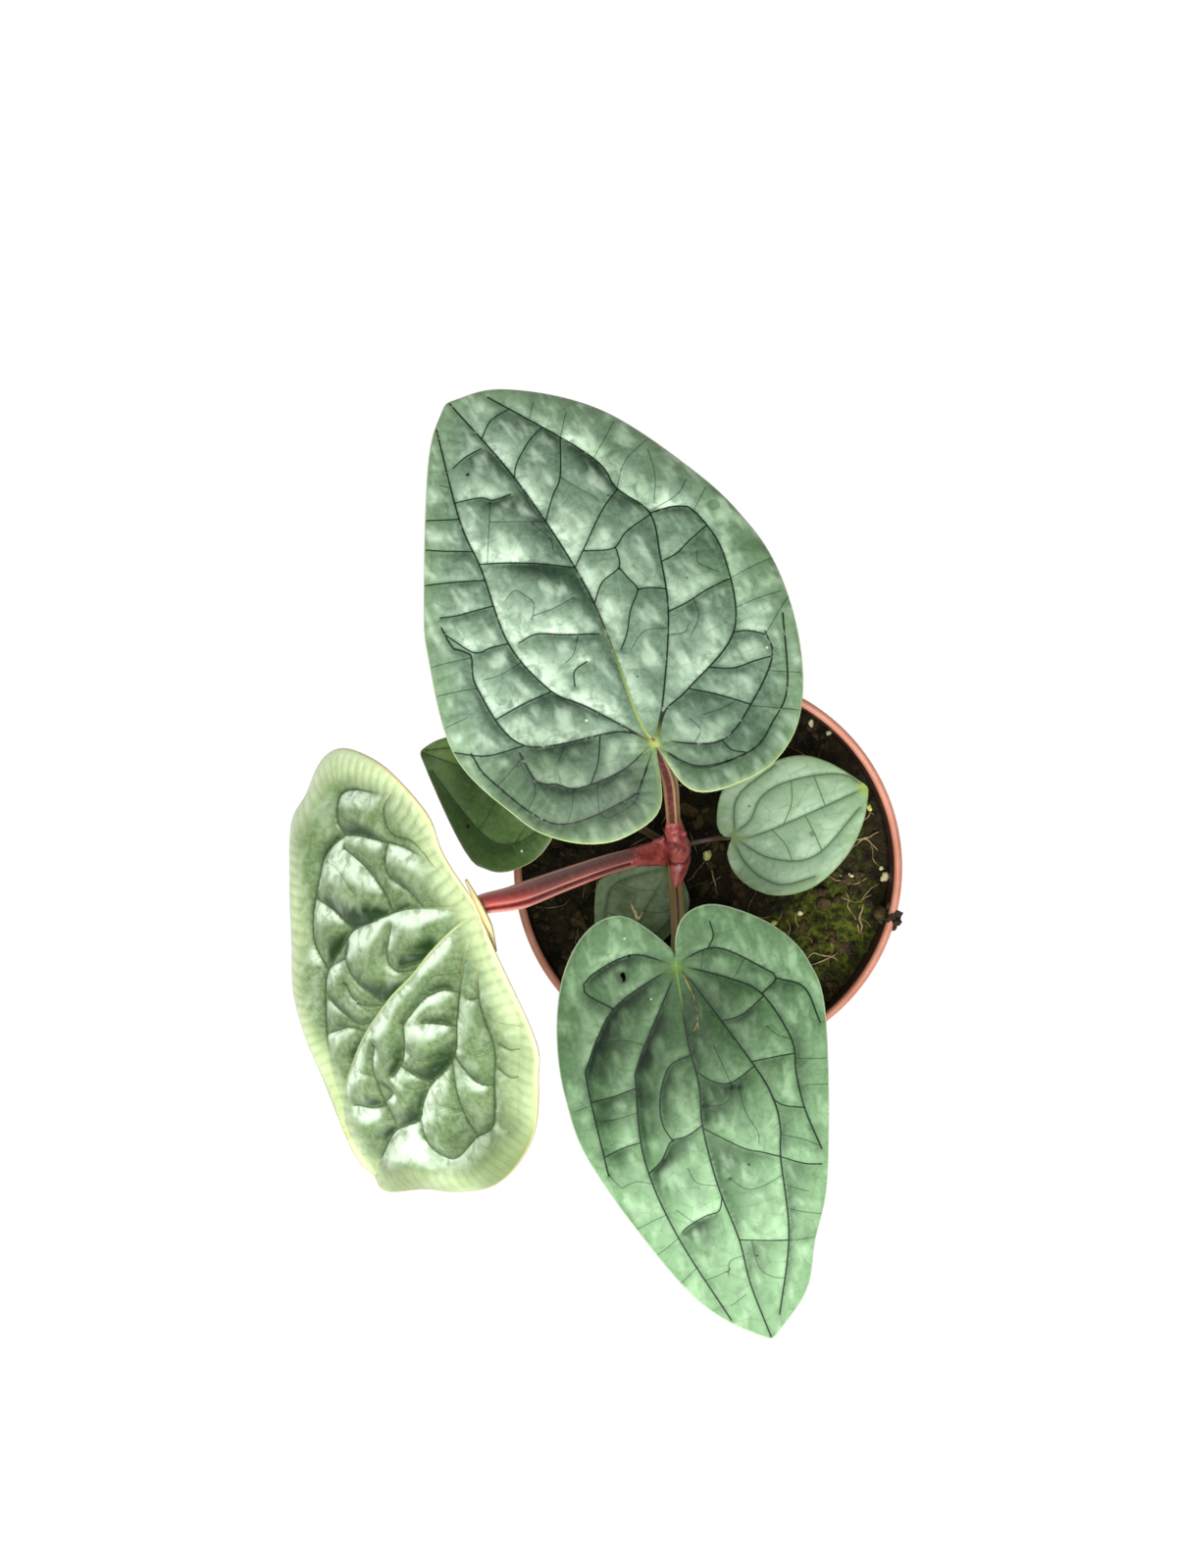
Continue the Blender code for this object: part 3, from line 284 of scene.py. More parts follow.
            left_3=[(-1, -1), (-12, -2), (-23, 7), (-26, 11), (-21, 14)],
            left_4=[(-26, 11), (-33, 16), (-35, 27)],
            right_1=[(0, 1), (16, 23), (19, 31), (22, 52), (19, 76), (10, 108)],
            right_2=[(1, 1), (7, 2), (20, 8), (30, 21), (32, 28), (33, 55)],
            right_3=[(1, -1), (11, -6), (23, -3), (26, 1), (20, 7)],
        ),
        cross=[
            [(2.5, 25.5), (8, 26.5), (11.5, 31), (14, 37.5), (14.5, 43.5), (13, 48.5)],
            [(5, 46), (9, 48), (13.5, 48.5), (17.5, 53.5), (21, 56.5)],
            [(2, 30.5), (-1.5, 34), (-6.5, 36), (-13, 34)],
            [(3, 47), (-1.5, 52), (-6, 56), (-10.5, 58.5), (-15, 61.5)],
            [(-9, 18), (-14.5, 18), (-21, 15)], [(31.5, 32.5), (26, 32), (19.5, 31)],
            [(32, 49.5), (27, 47.5), (22.5, 47)],
            [(4, 68.5), (5.5, 72.5), (9.5, 73), (15, 75), (17, 76.5)],
            [(1.5, 83), (-3, 84.5), (-11, 87)], [(-16.5, 44.5), (-19.5, 47), (-25.5, 49.5)],
            [(-15, 61.5), (-21, 65.5), (-26, 67.5)], [(-12, -9.5), (-12, -5.5), (-9.5, -1.5)],
            [(-15, 31.5), (-20.5, 32.5), (-26, 33.5)],
        ],
        fine=[
            [(33, 38), (27.5, 38.5), (21, 38)], [(-8.5, 37.5), (-8.5, 45), (-10.5, 52), (-10, 55.5)],
            [(-16.5, 55), (-22, 58), (-27.5, 62)], [(-14.5, 70), (-20.5, 74)],
            [(-13.5, 77.5), (-22, 82)], [(-11.5, 87.5), (-19, 88.5)],
            [(-19.5, 2), (-15.5, 6.5), (-13.5, 8.5)], [(-8.5, -1.5), (-6.5, 2.5)], [(17, 69), (14, 73)],
            [(21, 60), (26, 58), (30, 59)], [(20, 70), (24.5, 71), (28.5, 72.5)],
            [(18, 78), (25.5, 82)], [(16, 88.5), (21, 92)], [(7.5, 93), (6, 88.5), (3, 88)],
            [(6.5, 91), (13.5, 93)], [(4, 100.5), (9, 103)], [(-26, 35), (-35, 37.5)],
            [(-27, 43), (-33.5, 45)], [(37, 34), (32, 33.5)], [(32.5, 49), (33, 54), (30.5, 59)],
            [(14.5, 19), (19, 16.5), (26, 16.5)], [(-4.5, 24), (-5.5, 29.5), (-6.5, 35.5)],
            [(-20, 23), (-22.5, 26.5), (-26, 29)], [(1.5, 41), (-4, 41), (-7.5, 37.5)],
            [(-1, 19), (2, 20)], [(-1, 84), (-1.5, 92.5), (-4, 96.5), (-8.5, 99)],
            [(11, 57), (9.5, 62), (4.5, 65)], [(0.5, 63), (-3.5, 67.5), (-8.5, 68), (-14.5, 67)],
        ],
    ),
    "right": dict(
        base=(6.4, 9.7, 103.0), heading=20.0, pitch=1.3, roll=0.0,
        length=45.2, half_width=21.0, droop=3.0, curl=(2.0, 2.0), lobe_drop=1.0, bulge=0.05,
        puff_reach=10.0, margin_rise=0.05, net=0.3, pleat=0.03, cross_share=0.5,
        shine_from=(0.6, -0.8),
        left_edge=[(0, 0), (-1, -2), (-5, -3), (-13, 1), (-16, 7), (-17, 25), (-12, 35), (0, 45)],
        right_edge=[(0, 0), (4, -3), (10, -3), (16, 0), (21, 6), (23, 14), (22, 22), (17, 32),
                    (9, 40), (0, 45)],
        veins=dict(
            midrib=[(0, 0), (2, 9), (0, 44)],
            left_1=[(-1, 1), (-3, 7), (-8, 12), (-10, 19), (-9, 30), (-6, 39), (-1, 43)],
            left_2=[(-1, 1), (-11, 6), (-16, 20)],
            right_1=[(1, 1), (10, 9), (14, 22), (5, 40)],
            right_2=[(1, 0), (8, 1), (14, 4), (19, 10), (20, 20)],
        ),
        cross=[
            [(2, 16), (-3.5, 20.5), (-10, 23)], [(1.5, 23), (7.5, 24), (13.5, 24.5)],
            [(1, 30), (-4, 30), (-9, 30)], [(2, 12), (7.5, 14.5), (13, 15)],
        ],
        fine=[],
    ),
    "centre": dict(
        base=(-12.4, 0.0, 99.0), heading=-117.3, pitch=1.7, roll=0.0,
        length=33.9, half_width=15.0, droop=2.0, curl=(1.5, 1.5), lobe_drop=0.5, bulge=0.05,
        puff_reach=10.0, margin_rise=0.05, net=0.3, pleat=0.03, cross_share=0.5,
        shine_from=(0.0, -1.0),
        left_edge=[(0, 0), (-4, 0), (-11, 8), (-8, 22), (0, 34)],
        right_edge=[(0, 0), (5, 0), (15, 10), (17, 15), (12, 26), (7, 31), (0, 34)],
        veins=dict(
            midrib=[(0, 0), (1, 25), (0, 32)],
            left_1=[(-1, 0), (-8, 11), (-3, 26)],
            right_1=[(1, 0), (12, 11), (12, 18), (9, 25), (3, 30)],
        ),
        cross=[
            [(0.5, 7.5), (5.5, 10), (11.5, 10.5)], [(0.5, 15), (-4, 13), (-7.5, 9)],
            [(1, 19.5), (6, 20), (11, 20.5)],
        ],
        fine=[],
    ),
    "dark": dict(
        base=(-44.8, 20.0, 121.0), heading=159.4, pitch=10.0, roll=-8.0,
        length=47.1, half_width=26.0, droop=5.0, curl=(4.0, 3.0), lobe_drop=1.0, bulge=0.06,
        puff_reach=12.0, margin_rise=0.05, net=0.3, pleat=0.05, cross_share=0.5,
        shine_from=(-0.6, -0.8),
        left_edge=[(0, 0), (-9, -1), (-18, 2), (-25, 9), (-27, 16), (-24, 24), (-1, 47)],
        right_edge=[(0, 0), (7, 0), (13, 4), (16, 21), (6, 40), (-1, 47)],
        veins=dict(
            midrib=[(0, 0), (-1, 8), (0, 19), (-1, 46)],
            left_1=[(-2, 0), (-10, 4), (-17, 11), (-17, 20), (-5, 41)],
            right_1=[(1, 1), (8, 7), (12, 16), (9, 26), (0, 45)],
        ),
        cross=[
            [(-1, 8), (-8.5, 7.5), (-16, 9.5)], [(0, 19), (-8.5, 19), (-16.5, 21.5)],
            [(-1, 8), (4.5, 13.5), (12, 16)], [(0, 19), (4.5, 22.5), (9, 26)],
        ],
        fine=[],
    ),
}


# Shader helpers

def srgb(red, green, blue):
    """A display colour, 0 to 255, as linear red, green, blue and alpha."""
    return tuple(((value / 255 + 0.055) / 1.055) ** 2.4 if value > 10 else value / 255 / 12.92
                 for value in (red, green, blue)) + (1.0,)


class Shader:
    """A Principled material with short calls that add and join its nodes."""

    def __init__(self, name, roughness, specular=0.5):
        self.material = bpy.data.materials.new(name)
        self.material.use_nodes = True
        self.tree = self.material.node_tree
        self.surface = self.tree.nodes["Principled BSDF"]
        self.set("Roughness", roughness)
        self.set("Specular IOR Level", specular)

    def set(self, name, value):
        """Sets an input of the surface, or links a node to it."""
        self.put(self.surface.inputs[name], value)

    def put(self, socket, value):
        if isinstance(value, bpy.types.NodeSocket):
            self.tree.links.new(value, socket)
        else:
            socket.default_value = value

    def add(self, kind, inputs, **settings):
        node = self.tree.nodes.new(kind)
        for name, value in settings.items():
            setattr(node, name, value)
        for name, value in inputs.items():
            self.put(node.inputs[name], value)
        return node

    def attribute(self, name):
        return self.add("ShaderNodeAttribute", {}, attribute_name=name).outputs["Fac"]

    def place(self):
        return self.add("ShaderNodeTexCoord", {}).outputs["Object"]

    def noise(self, size, detail=4.0, roughness=0.5, distortion=0.0):
        """Noise with features of a size in millimetres."""
        return self.add("ShaderNodeTexNoise", {
            "Vector": self.place(), "Scale": 1 / (size * MM), "Detail": detail,
            "Roughness": roughness, "Distortion": distortion}).outputs["Fac"]

    def streaks(self, size, stretch):
        """Noise drawn out along a leaf, its features this wide in millimetres."""
        ahead = self.math("MULTIPLY", self.attribute("ahead"), 1 / stretch)
        flat = self.add("ShaderNodeCombineXYZ", {"X": self.attribute("right"), "Y": ahead})
        return self.add("ShaderNodeTexNoise", {
            "Vector": flat.outputs[0], "Scale": 1 / size, "Detail": 2.0, "Roughness": 0.55,
            "Distortion": 0.2}).outputs["Fac"]

    def cells(self, size):
        """Distance to the edges of irregular cells of a size in millimetres."""
        return self.add("ShaderNodeTexVoronoi", {
            "Vector": self.place(), "Scale": 1 / (size * MM)},
            feature="DISTANCE_TO_EDGE").outputs["Distance"]

    def math(self, operation, first, second=0.0):
        return self.add("ShaderNodeMath", {0: first, 1: second}, operation=operation).outputs[0]

    def product(self, first, *others):
        """Shares multiplied together."""
        for other in others:
            first = self.math("MULTIPLY", first, other)
        return first

    def band(self, value, low, high, at_low=0.0, at_high=1.0):
        """A value carried smoothly from one range to another."""
        return self.add("ShaderNodeMapRange", {
            "Value": value, "From Min": low, "From Max": high, "To Min": at_low,
            "To Max": at_high}, interpolation_type="SMOOTHSTEP", clamp=True).outputs["Result"]

    def mix(self, factor, first, second, blend="MIX"):
        node = self.add("ShaderNodeMix", {}, data_type="RGBA", blend_type=blend)
        self.put(node.inputs["Factor"], factor)
        self.put(node.inputs[6], first)
        self.put(node.inputs[7], second)
        return node.outputs[2]

    def ramp(self, value, stops):
        """A colour read from rising (place, colour) stops between 0 and 1."""
        node = self.add("ShaderNodeValToRGB", {"Fac": value})
        elements = node.color_ramp.elements
        for place, _ in stops[1:-1]:
            elements.new(place)
        for element, (_, colour) in zip(elements, stops):
            element.color = colour
        return node.outputs["Color"]

    def spots(self, colour, spots, blend="MIX"):
        """A colour with round tints: x, y, reach of the full and of the last tint, share, tint."""
        flat = self.add("ShaderNodeCombineXYZ", {
            "X": self.attribute("right"), "Y": self.attribute("ahead")}).outputs[0]
        for x, y, inner, outer, share, tint in spots:
            away = self.add("ShaderNodeVectorMath", {0: flat, 1: (x, y, 0.0)},
                            operation="DISTANCE").outputs["Value"]
            colour = self.mix(self.band(away, inner, outer, share, 0.0), colour, tint, blend)
        return colour

    def bump(self, height, strength, distance):
        """A bump of a depth in millimetres."""
        return self.add("ShaderNodeBump", {
            "Height": height, "Strength": strength, "Distance": distance * MM}).outputs["Normal"]


# Curves in the plane and in space

def through(points, step):
    """A smooth curve through the points, read about every step."""
    knots = np.array(points, float)
    if len(knots) < 3:
        count = max(2, round(float(np.linalg.norm(knots[-1] - knots[0])) / step) + 1)
        return np.linspace(knots[0], knots[-1], count)
    padded = np.vstack([2 * knots[0] - knots[1], knots, 2 * knots[-1] - knots[-2]])
    curve = []
    for before, start, end, after in zip(padded, padded[1:], padded[2:], padded[3:]):
        count = max(1, round(float(np.linalg.norm(end - start)) / step))
        for t in np.arange(count) / count:
            curve.append(0.5 * (2 * start + (end - before) * t
                                + (2 * before - 5 * start + 4 * end - after) * t ** 2
                                + (3 * start - before - 3 * end + after) * t ** 3))
    curve.append(knots[-1])
    return np.array(curve)


def divided(curve, step):
    """A polyline with more points on its own straight stretches."""
    made = []
    for start, end in zip(curve, curve[1:]):
        count = max(1, math.ceil(float(np.linalg.norm(end - start)) / step))
        made.extend(start + (end - start) * t for t in np.arange(count) / count)
    made.append(curve[-1])
    return np.array(made)


def nearest(points, curve):
    """Each point's distance to a polyline, and how far along it the nearest place is."""
    distance = np.full(len(points), np.inf)
    place = np.zeros(len(points))
    reached = 0.0
    for start, end in zip(curve, curve[1:]):
        line = end - start
        length = float(np.hypot(*line))
        if length < 1e-9:
            continue
        t = np.clip((points - start) @ line / length ** 2, 0.0, 1.0)
        offset = points - (start + t[:, None] * line)
        found = np.hypot(offset[:, 0], offset[:, 1])
        closer = found < distance
        distance[closer] = found[closer]
        place[closer] = reached + t[closer] * length
        reached += length
    return distance, place


def inside(points, outline):
    """Which points lie inside a closed outline."""
    x, y = points.T
    found = np.zeros(len(points), bool)
    for (x0, y0), (x1, y1) in zip(outline, np.roll(outline, -1, axis=0)):
        if y0 == y1:
            continue
        crosses = (y0 > y) != (y1 > y)
        found ^= crosses & (x < (x1 - x0) * (y - y0) / (y1 - y0) + x0)
    return found


def smooth_step(value):
    """A smooth rise from 0 to 1."""
    value = np.clip(value, 0.0, 1.0)
    return value * value * (3 - 2 * value)


def net(points, spacing, seed):
    """Distance to the edges of jittered cells, for the finest veins."""
    draw = np.random.default_rng(seed)
    low, high = points.min(axis=0) - spacing, points.max(axis=0) + spacing
    columns = np.arange(low[0], high[0], spacing)
    rows = np.arange(low[1], high[1], spacing * NET_ROW)
    seeds = np.array([(x + 0.5 * spacing * (row % 2), y) for row, y in enumerate(rows)
                      for x in columns])
    seeds += draw.uniform(-NET_JITTER, NET_JITTER, seeds.shape) * spacing
    tree = kdtree.KDTree(len(seeds))
    for index, (x, y) in enumerate(seeds):
        tree.insert((x, y, 0.0), index)
    tree.balance()
    near = [tree.find_n((x, y, 0.0), 2) for x, y in points]
    return np.array([second[2] - first[2] for first, second in near])


# Leaf blades

def joined(line, others):
    """A vein with each of its ends moved onto another vein or the margin that it nearly meets."""
    points = [np.array(point, float) for point in line]
    for end in (0, -1):
        gaps = np.hypot(*(others - points[end]).T)
        if gaps.min() < JOIN_REACH:
            points[end] = others[gaps.argmin()]
    return points


def leaf_curves(leaf):
    """The margins, main veins, cross veins and fine veins of a leaf as polylines."""
    edges = [through(leaf[side], CURVE_STEP) for side in ("right_edge", "left_edge")]
    main = [through(points, CURVE_STEP) for points in leaf["veins"].values()]
    known = np.vstack([divided(curve, LINE_STEP) for curve in edges + main])
    groups = []
    for kind in ("cross", "fine"):
        group = [through(joined(line, known), 1.5 * LINE_STEP) for line in leaf[kind]]
        known = np.vstack([known] + group)
        groups.append(group)
    return edges, main, *groups


def leaf_frame(leaf):
    """The blade's frame: x to the right, y towards the tip, z up from the blade."""
    heading, pitch, roll = (math.radians(leaf[key]) for key in ("heading", "pitch", "roll"))
    ahead = Vector((math.cos(heading) * math.cos(pitch), math.sin(heading) * math.cos(pitch),
                    -math.sin(pitch)))
    level = Vector((math.sin(heading), -math.cos(heading), 0.0))
    up = level.cross(ahead)
    right = level * math.cos(roll) - up * math.sin(roll)
    up = up * math.cos(roll) + level * math.sin(roll)
    made = Matrix((right, ahead, up)).transposed().to_4x4()
    made.translation = Vector(leaf["base"])
    return made


def leaf_form(leaf, points):
    """The blade's height over its own plane without its quilting."""
    right, ahead = points[:, 0], points[:, 1]
    forward = np.maximum(ahead, 0.0) / leaf["length"]
    behind = np.maximum(-ahead, 0.0) / (LOBE_SHARE * leaf["length"])
    curl = np.where(right < 0, leaf["curl"][0], leaf["curl"][1])
    return (-leaf["droop"] * forward ** 2 - curl * (right / leaf["half_width"]) ** 2
            - leaf["lobe_drop"] * behind ** LOBE_POWER)


def puffed(faces, start, held, reach):
    """A sheet blown up between its held points: each free point rises towards 1 in smooth domes."""
    edges = np.vstack([faces[:, :2], faces[:, 1:], faces[:, ::2]])
    edges = np.unique(np.sort(edges, axis=1), axis=0)
    first, second = edges.T
    count = len(start)
    links = np.bincount(first, minlength=count) + np.bincount(second, minlength=count)
    links = np.maximum(links, 1)
    pull = (BLADE_GRID / reach) ** 2 / 4
    carried = 1.0 / (1.0 + pull)
    speed = 2.0 / (1.0 + math.sqrt(1.0 - carried ** 2))
    height, before = start.copy(), start.copy()
    for _ in range(PUFF_ROUNDS):
        around = (np.bincount(first, height[second], count)
                  + np.bincount(second, height[first], count)) / links
        after = speed * ((around + pull) * carried - before) + before
        after[held] = start[held]
        before, height = height, after
    return height


def facing(points, faces, relief, toward):
    """How far the relief turns towards a direction in the blade's own plane."""
    mesh = bpy.data.meshes.new("relief")
    mesh.from_pydata(np.column_stack([points, relief]).tolist(), [], faces.tolist())
    normals = np.empty(3 * len(points))
    mesh.vertices.foreach_get("normal", normals)
    bpy.data.meshes.remove(mesh)
    normals = normals.reshape(-1, 3)
    return normals[:, :2] @ np.array(toward) / np.maximum(normals[:, 2], 0.2)


def leaf_relief(leaf, points, faces, margin, main, cross, minor, seed):
    """The blade's height, and the distances that its material is coloured by."""
    to_main, to_cross, to_fine = (
        np.min([nearest(points, vein)[0] for vein in veins] + [np.full(len(points), FAR)], axis=0)
        for veins in (main, cross, minor))
    to_midrib = nearest(points, main[0])[0]
    to_margin, place = nearest(points, margin)
    to_net = net(points, NET_CELL, seed)
    reach = np.hypot(points[:, 0], points[:, 1])
    held = (to_main < ON_LINE) | ((reach < VEIN_START) & (to_main < 0.6 * BLADE_GRID))
    on_margin = (to_margin < ON_LINE) & ~held
    start = np.where(on_margin, leaf["margin_rise"], 0.0)
    held |= on_margin
    swell = puffed(faces, start, held, leaf["puff_reach"])
    for distance, share in ((to_cross, leaf["cross_share"]), (to_fine, FINE_SHARE)):
        on_line = (distance < ON_LINE) & ~held
        start = np.where(on_line, share * swell, swell)
        held |= on_line
        swell = puffed(faces, start, held, leaf["puff_reach"])
    dimple = np.exp(-(to_net / NET_WIDTH) ** 2) * smooth_step(to_main / 2.0)
    relief = leaf["bulge"] * leaf["puff_reach"] ** 2 * swell
    heading = math.radians(leaf["heading"])
    east, north = leaf["shine_from"]
    toward = (east * math.sin(heading) - north * math.cos(heading),
              east * math.cos(heading) + north * math.sin(heading))
    # How far each slope turns towards the light, which the material paints as highlight or shade.
    shine = facing(points, faces, relief, toward)
    relief -= leaf["net"] * dimple * np.minimum(relief / 2.0, 1.0)
    height = leaf_form(leaf, points) + relief
    sway = PLEAT_SWAY * np.sin(place / PLEAT_SWAY_REACH)
    pleats = 0.5 + 0.5 * np.cos(math.tau * place / PLEAT_STEP + sway)
    band = (smooth_step(to_margin / PLEAT_START)
            * (1.0 - smooth_step((to_margin - PLEAT_END) / PLEAT_FADE)))
    height -= leaf["pleat"] * pleats ** 3 * band
    return height, dict(main=to_main, midrib=to_midrib, cross=to_cross, fine=to_fine,
                        margin=to_margin, net=to_net, reach=reach, shine=shine,
                        pleat=pleats * band, right=points[:, 0], ahead=points[:, 1])


def triangulated(outline, lines, spacing):
    """Triangles inside a closed outline, with the lines on their edges and a grid between them."""
    points = [tuple(point) for point in outline]
    edges = [(i, (i + 1) % len(outline)) for i in range(len(outline))]
    for line in lines:
        first = len(points)
        points.extend(tuple(point) for point in line)
        edges.extend((first + i, first + i + 1) for i in range(len(line) - 1))
    low, high = outline.min(axis=0), outline.max(axis=0)
    row_height = spacing * math.sqrt(3) / 2
    rows, columns = np.mgrid[0:int((high[1] - low[1]) / row_height) + 1,
                             0:int((high[0] - low[0]) / spacing) + 1]
    grid = np.stack([low[0] + (columns + 0.5 * (rows % 2)) * spacing,
                     low[1] + rows * row_height], -1).reshape(-1, 2)
    grid = grid[inside(grid, outline)]
    fixed = np.array(points)
    tree = kdtree.KDTree(len(fixed))
    for index, (x, y) in enumerate(fixed):
        tree.insert((x, y, 0.0), index)
    tree.balance()
    clear = np.array([tree.find((x, y, 0.0))[2] for x, y in grid])
    points.extend(tuple(point) for point in grid[clear > GRID_CLEARANCE * spacing])
    found = delaunay_2d_cdt([Vector(point) for point in points], edges,
                            [list(range(len(outline)))], 1, MERGE_REACH)
    return np.array([tuple(vertex) for vertex in found[0]]), np.array(found[2])


def slab_mesh(name, points, faces, top, bottom, values):
    """A closed sheet between two heights over the same triangles, its values kept by name."""
    used = np.unique(faces)
    position = np.zeros(len(points), int)
    position[used] = np.arange(len(used))
    faces = position[faces]
    points, top, bottom = points[used], top[used], bottom[used]
    count = len(used)
    sides = set()
    for first, second, third in faces.tolist():
        sides.update(((first, second), (second, third), (third, first)))
    walls = [(end, start, start + count, end + count) for start, end in sides
             if (end, start) not in sides]
    coordinates = np.vstack([np.column_stack([points, top]), np.column_stack([points, bottom])])
    mesh = bpy.data.meshes.new(name)
    mesh.from_pydata((coordinates * MM).tolist(), [],
                     faces.tolist() + (faces[:, ::-1] + count).tolist() + walls)
    mesh.update()
    for key, value in values.items():
        layer = mesh.attributes.new(key, "FLOAT", "POINT")
        layer.data.foreach_set("value", np.tile(value[used], 2).astype(np.float32))
    under = np.zeros(len(mesh.polygons), np.int32)
    under[len(faces):2 * len(faces)] = 1
    mesh.polygons.foreach_set("material_index", under)
    return mesh


def link(name, mesh, materials, slot, *replaced):
    """Adds a mesh as a piece that rides with the plant and its pot."""
    made = bpy.data.objects.new(name, mesh)
    bpy.context.scene.collection.objects.link(made)
    mesh.materials.clear()
    for material in materials:
        mesh.materials.append(material)
    mesh.shade_smooth()
    if replaced:
        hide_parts(*replaced)
    return made


def make_blade(leaf_name, materials, slot):
    """One fine blade at its petiole's end."""
    leaf = LEAVES[leaf_name]
    edges, main, cross, minor = leaf_curves(leaf)
    margin = np.vstack([edges[0][:-1], edges[1][:0:-1]])
    outline = divided(np.vstack([margin, margin[:1]]), LINE_STEP)[:-1]
    tip = np.hypot(*(outline - edges[0][-1]).T) < TIP_REACH
    for _ in range(TIP_ROUNDS):
        softer = (np.roll(outline, 1, axis=0) + outline + np.roll(outline, -1, axis=0)) / 3
        outline = np.where(tip[:, None], softer, outline)
    closed = np.vstack([outline, outline[:1]])
    lines = []
    for number, vein in enumerate(main + cross + minor):
        fine = divided(vein, LINE_STEP)
        clear = nearest(fine, closed)[0] > MARGIN_CLEARANCE * BLADE_GRID
        if 0 < number < len(main):
            clear &= np.hypot(fine[:, 0], fine[:, 1]) > VEIN_START
        if clear.sum() > 1:
            lines.append(fine[clear])
    holes = [through([*hole, hole[0]], HOLE_STEP) for hole in leaf.get("holes", [])]
    points, faces = triangulated(outline, lines + holes, BLADE_GRID)
    for hole in holes:
        faces = faces[~inside(points[faces].mean(axis=1), hole[:-1])]
    height, values = leaf_relief(leaf, points, faces, closed, main, cross, minor,
                                 len(leaf_name))
    full = smooth_step(values["margin"] / EDGE_THIN_WIDTH)
    half = BLADE_THICKNESS / 2 * (EDGE_THIN + (1.0 - EDGE_THIN) * full)
    mesh = slab_mesh(f"leaf_{leaf_name}", points, faces, height + half, height - half, values)
    place = leaf_frame(leaf)
    place.translation *= MM
    mesh.transform(place)
    blade = link(f"leaf_{leaf_name}", mesh, materials, slot, f"blade_{leaf_name}")
    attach(blade, "root")
    return blade


def blade_tissue(made, looks):
    """The blade's colours: two greens, paler spots of painted light, a silver tone between the veins
    that is partly painted sheen, flecks and a margin.
    """
    tone = made.band(made.noise(22.0, 3.0), 0.35, 0.65)
    colour = made.mix(tone, looks["tissue"], looks["tissue_2"])
    # Paler spots of painted light, where a leaf lists them.
    colour = made.spots(colour, looks["tints"])
    # Partly the leaf's own silver, partly painted sheen: paler away from the veins.
    between = made.math("MINIMUM", made.attribute("main"), made.attribute("cross"))
    silver_and_sheen = made.product(made.band(between, 0.3, 5.5), looks["silver_share"])
    colour = made.mix(silver_and_sheen, colour, looks["silver"])
    mottle = made.band(made.noise(1.5, 5.0, 0.7), 0.36, 0.66)
    colour = made.mix(made.product(mottle, 0.42), colour, looks["fleck"])
    blotch = made.noise(4.5, 5.0, 0.62, 0.6)
    colour = made.mix(made.band(blotch, 0.50, 0.72, 0.0, looks["blotch"]), colour, looks["fleck"])
    colour = made.mix(made.band(blotch, 0.28, 0.48, looks["blotch"], 0.0), colour, looks["shade"])
    outer = made.product(made.band(made.attribute("margin"), 1.0, looks["band"], 1.0, 0.0),
                         looks["band_share"])
    return made.mix(outer, colour, looks["band_colour"])


def blade_slopes(made, looks, colour):
    """Painted sheen and shade: the colour is pale on slopes that face the light and dark on the far
    ones, in soft patches.
    """
    margin, turn = made.attribute("margin"), made.attribute("shine")
    patch = made.band(made.noise(5.0, 4.0, 0.6, 0.8), 0.36, 0.58, looks["patch_low"], 1.0)
    sheen_inside_margin = made.band(margin, looks["dull_edge"], looks["dull_edge"] + 5.0, 0.2, 1.0)
    # Painted highlight: the shine colour on slopes that turn towards the light, faded near the margin.
    bright = made.product(made.band(turn, *looks["shine_range"]), patch,
                          made.band(turn, *looks["shine_fall"], 1.0, 0.3), sheen_inside_margin,
                          looks["shine_share"])
    colour = made.mix(bright, colour, looks["shine"])
    # Painted shade: the shade colour on slopes that turn away from the light.
    shade_inside_margin = made.band(margin, looks["shade_edge"], looks["shade_edge"] + 5.0, 0.2, 1.0)
    shaded = made.band(turn, *looks["shade_range"], looks["shade_share"], 0.0)
    colour = made.mix(made.product(shaded, shade_inside_margin), colour, looks["shade"])
    clear = made.math("MINIMUM", made.attribute("main"), made.attribute("cross"))
    clear = made.math("MINIMUM", clear, made.attribute("fine"))
    # Painted highlight in soft streaks inside the cells.
    lit = made.product(made.band(made.streaks(5.2, 2.4), 0.44, 0.68),
                       made.band(clear, 0.3, 3.4, 0.0, looks["patches"]))
    colour = made.mix(lit, colour, looks["shine"])
    # Painted shade in soft streaks.
    sunk = made.product(made.band(made.streaks(7.0, 1.5), 0.30, 0.50, 1.0, 0.0),
                        0.6 * looks["patches"])
    colour = made.mix(sunk, colour, looks["shade"])
    # Painted shade: round spots that darken the colour by multiplying it.
    return made.spots(colour, looks["painted_shade_spots"], "MULTIPLY")


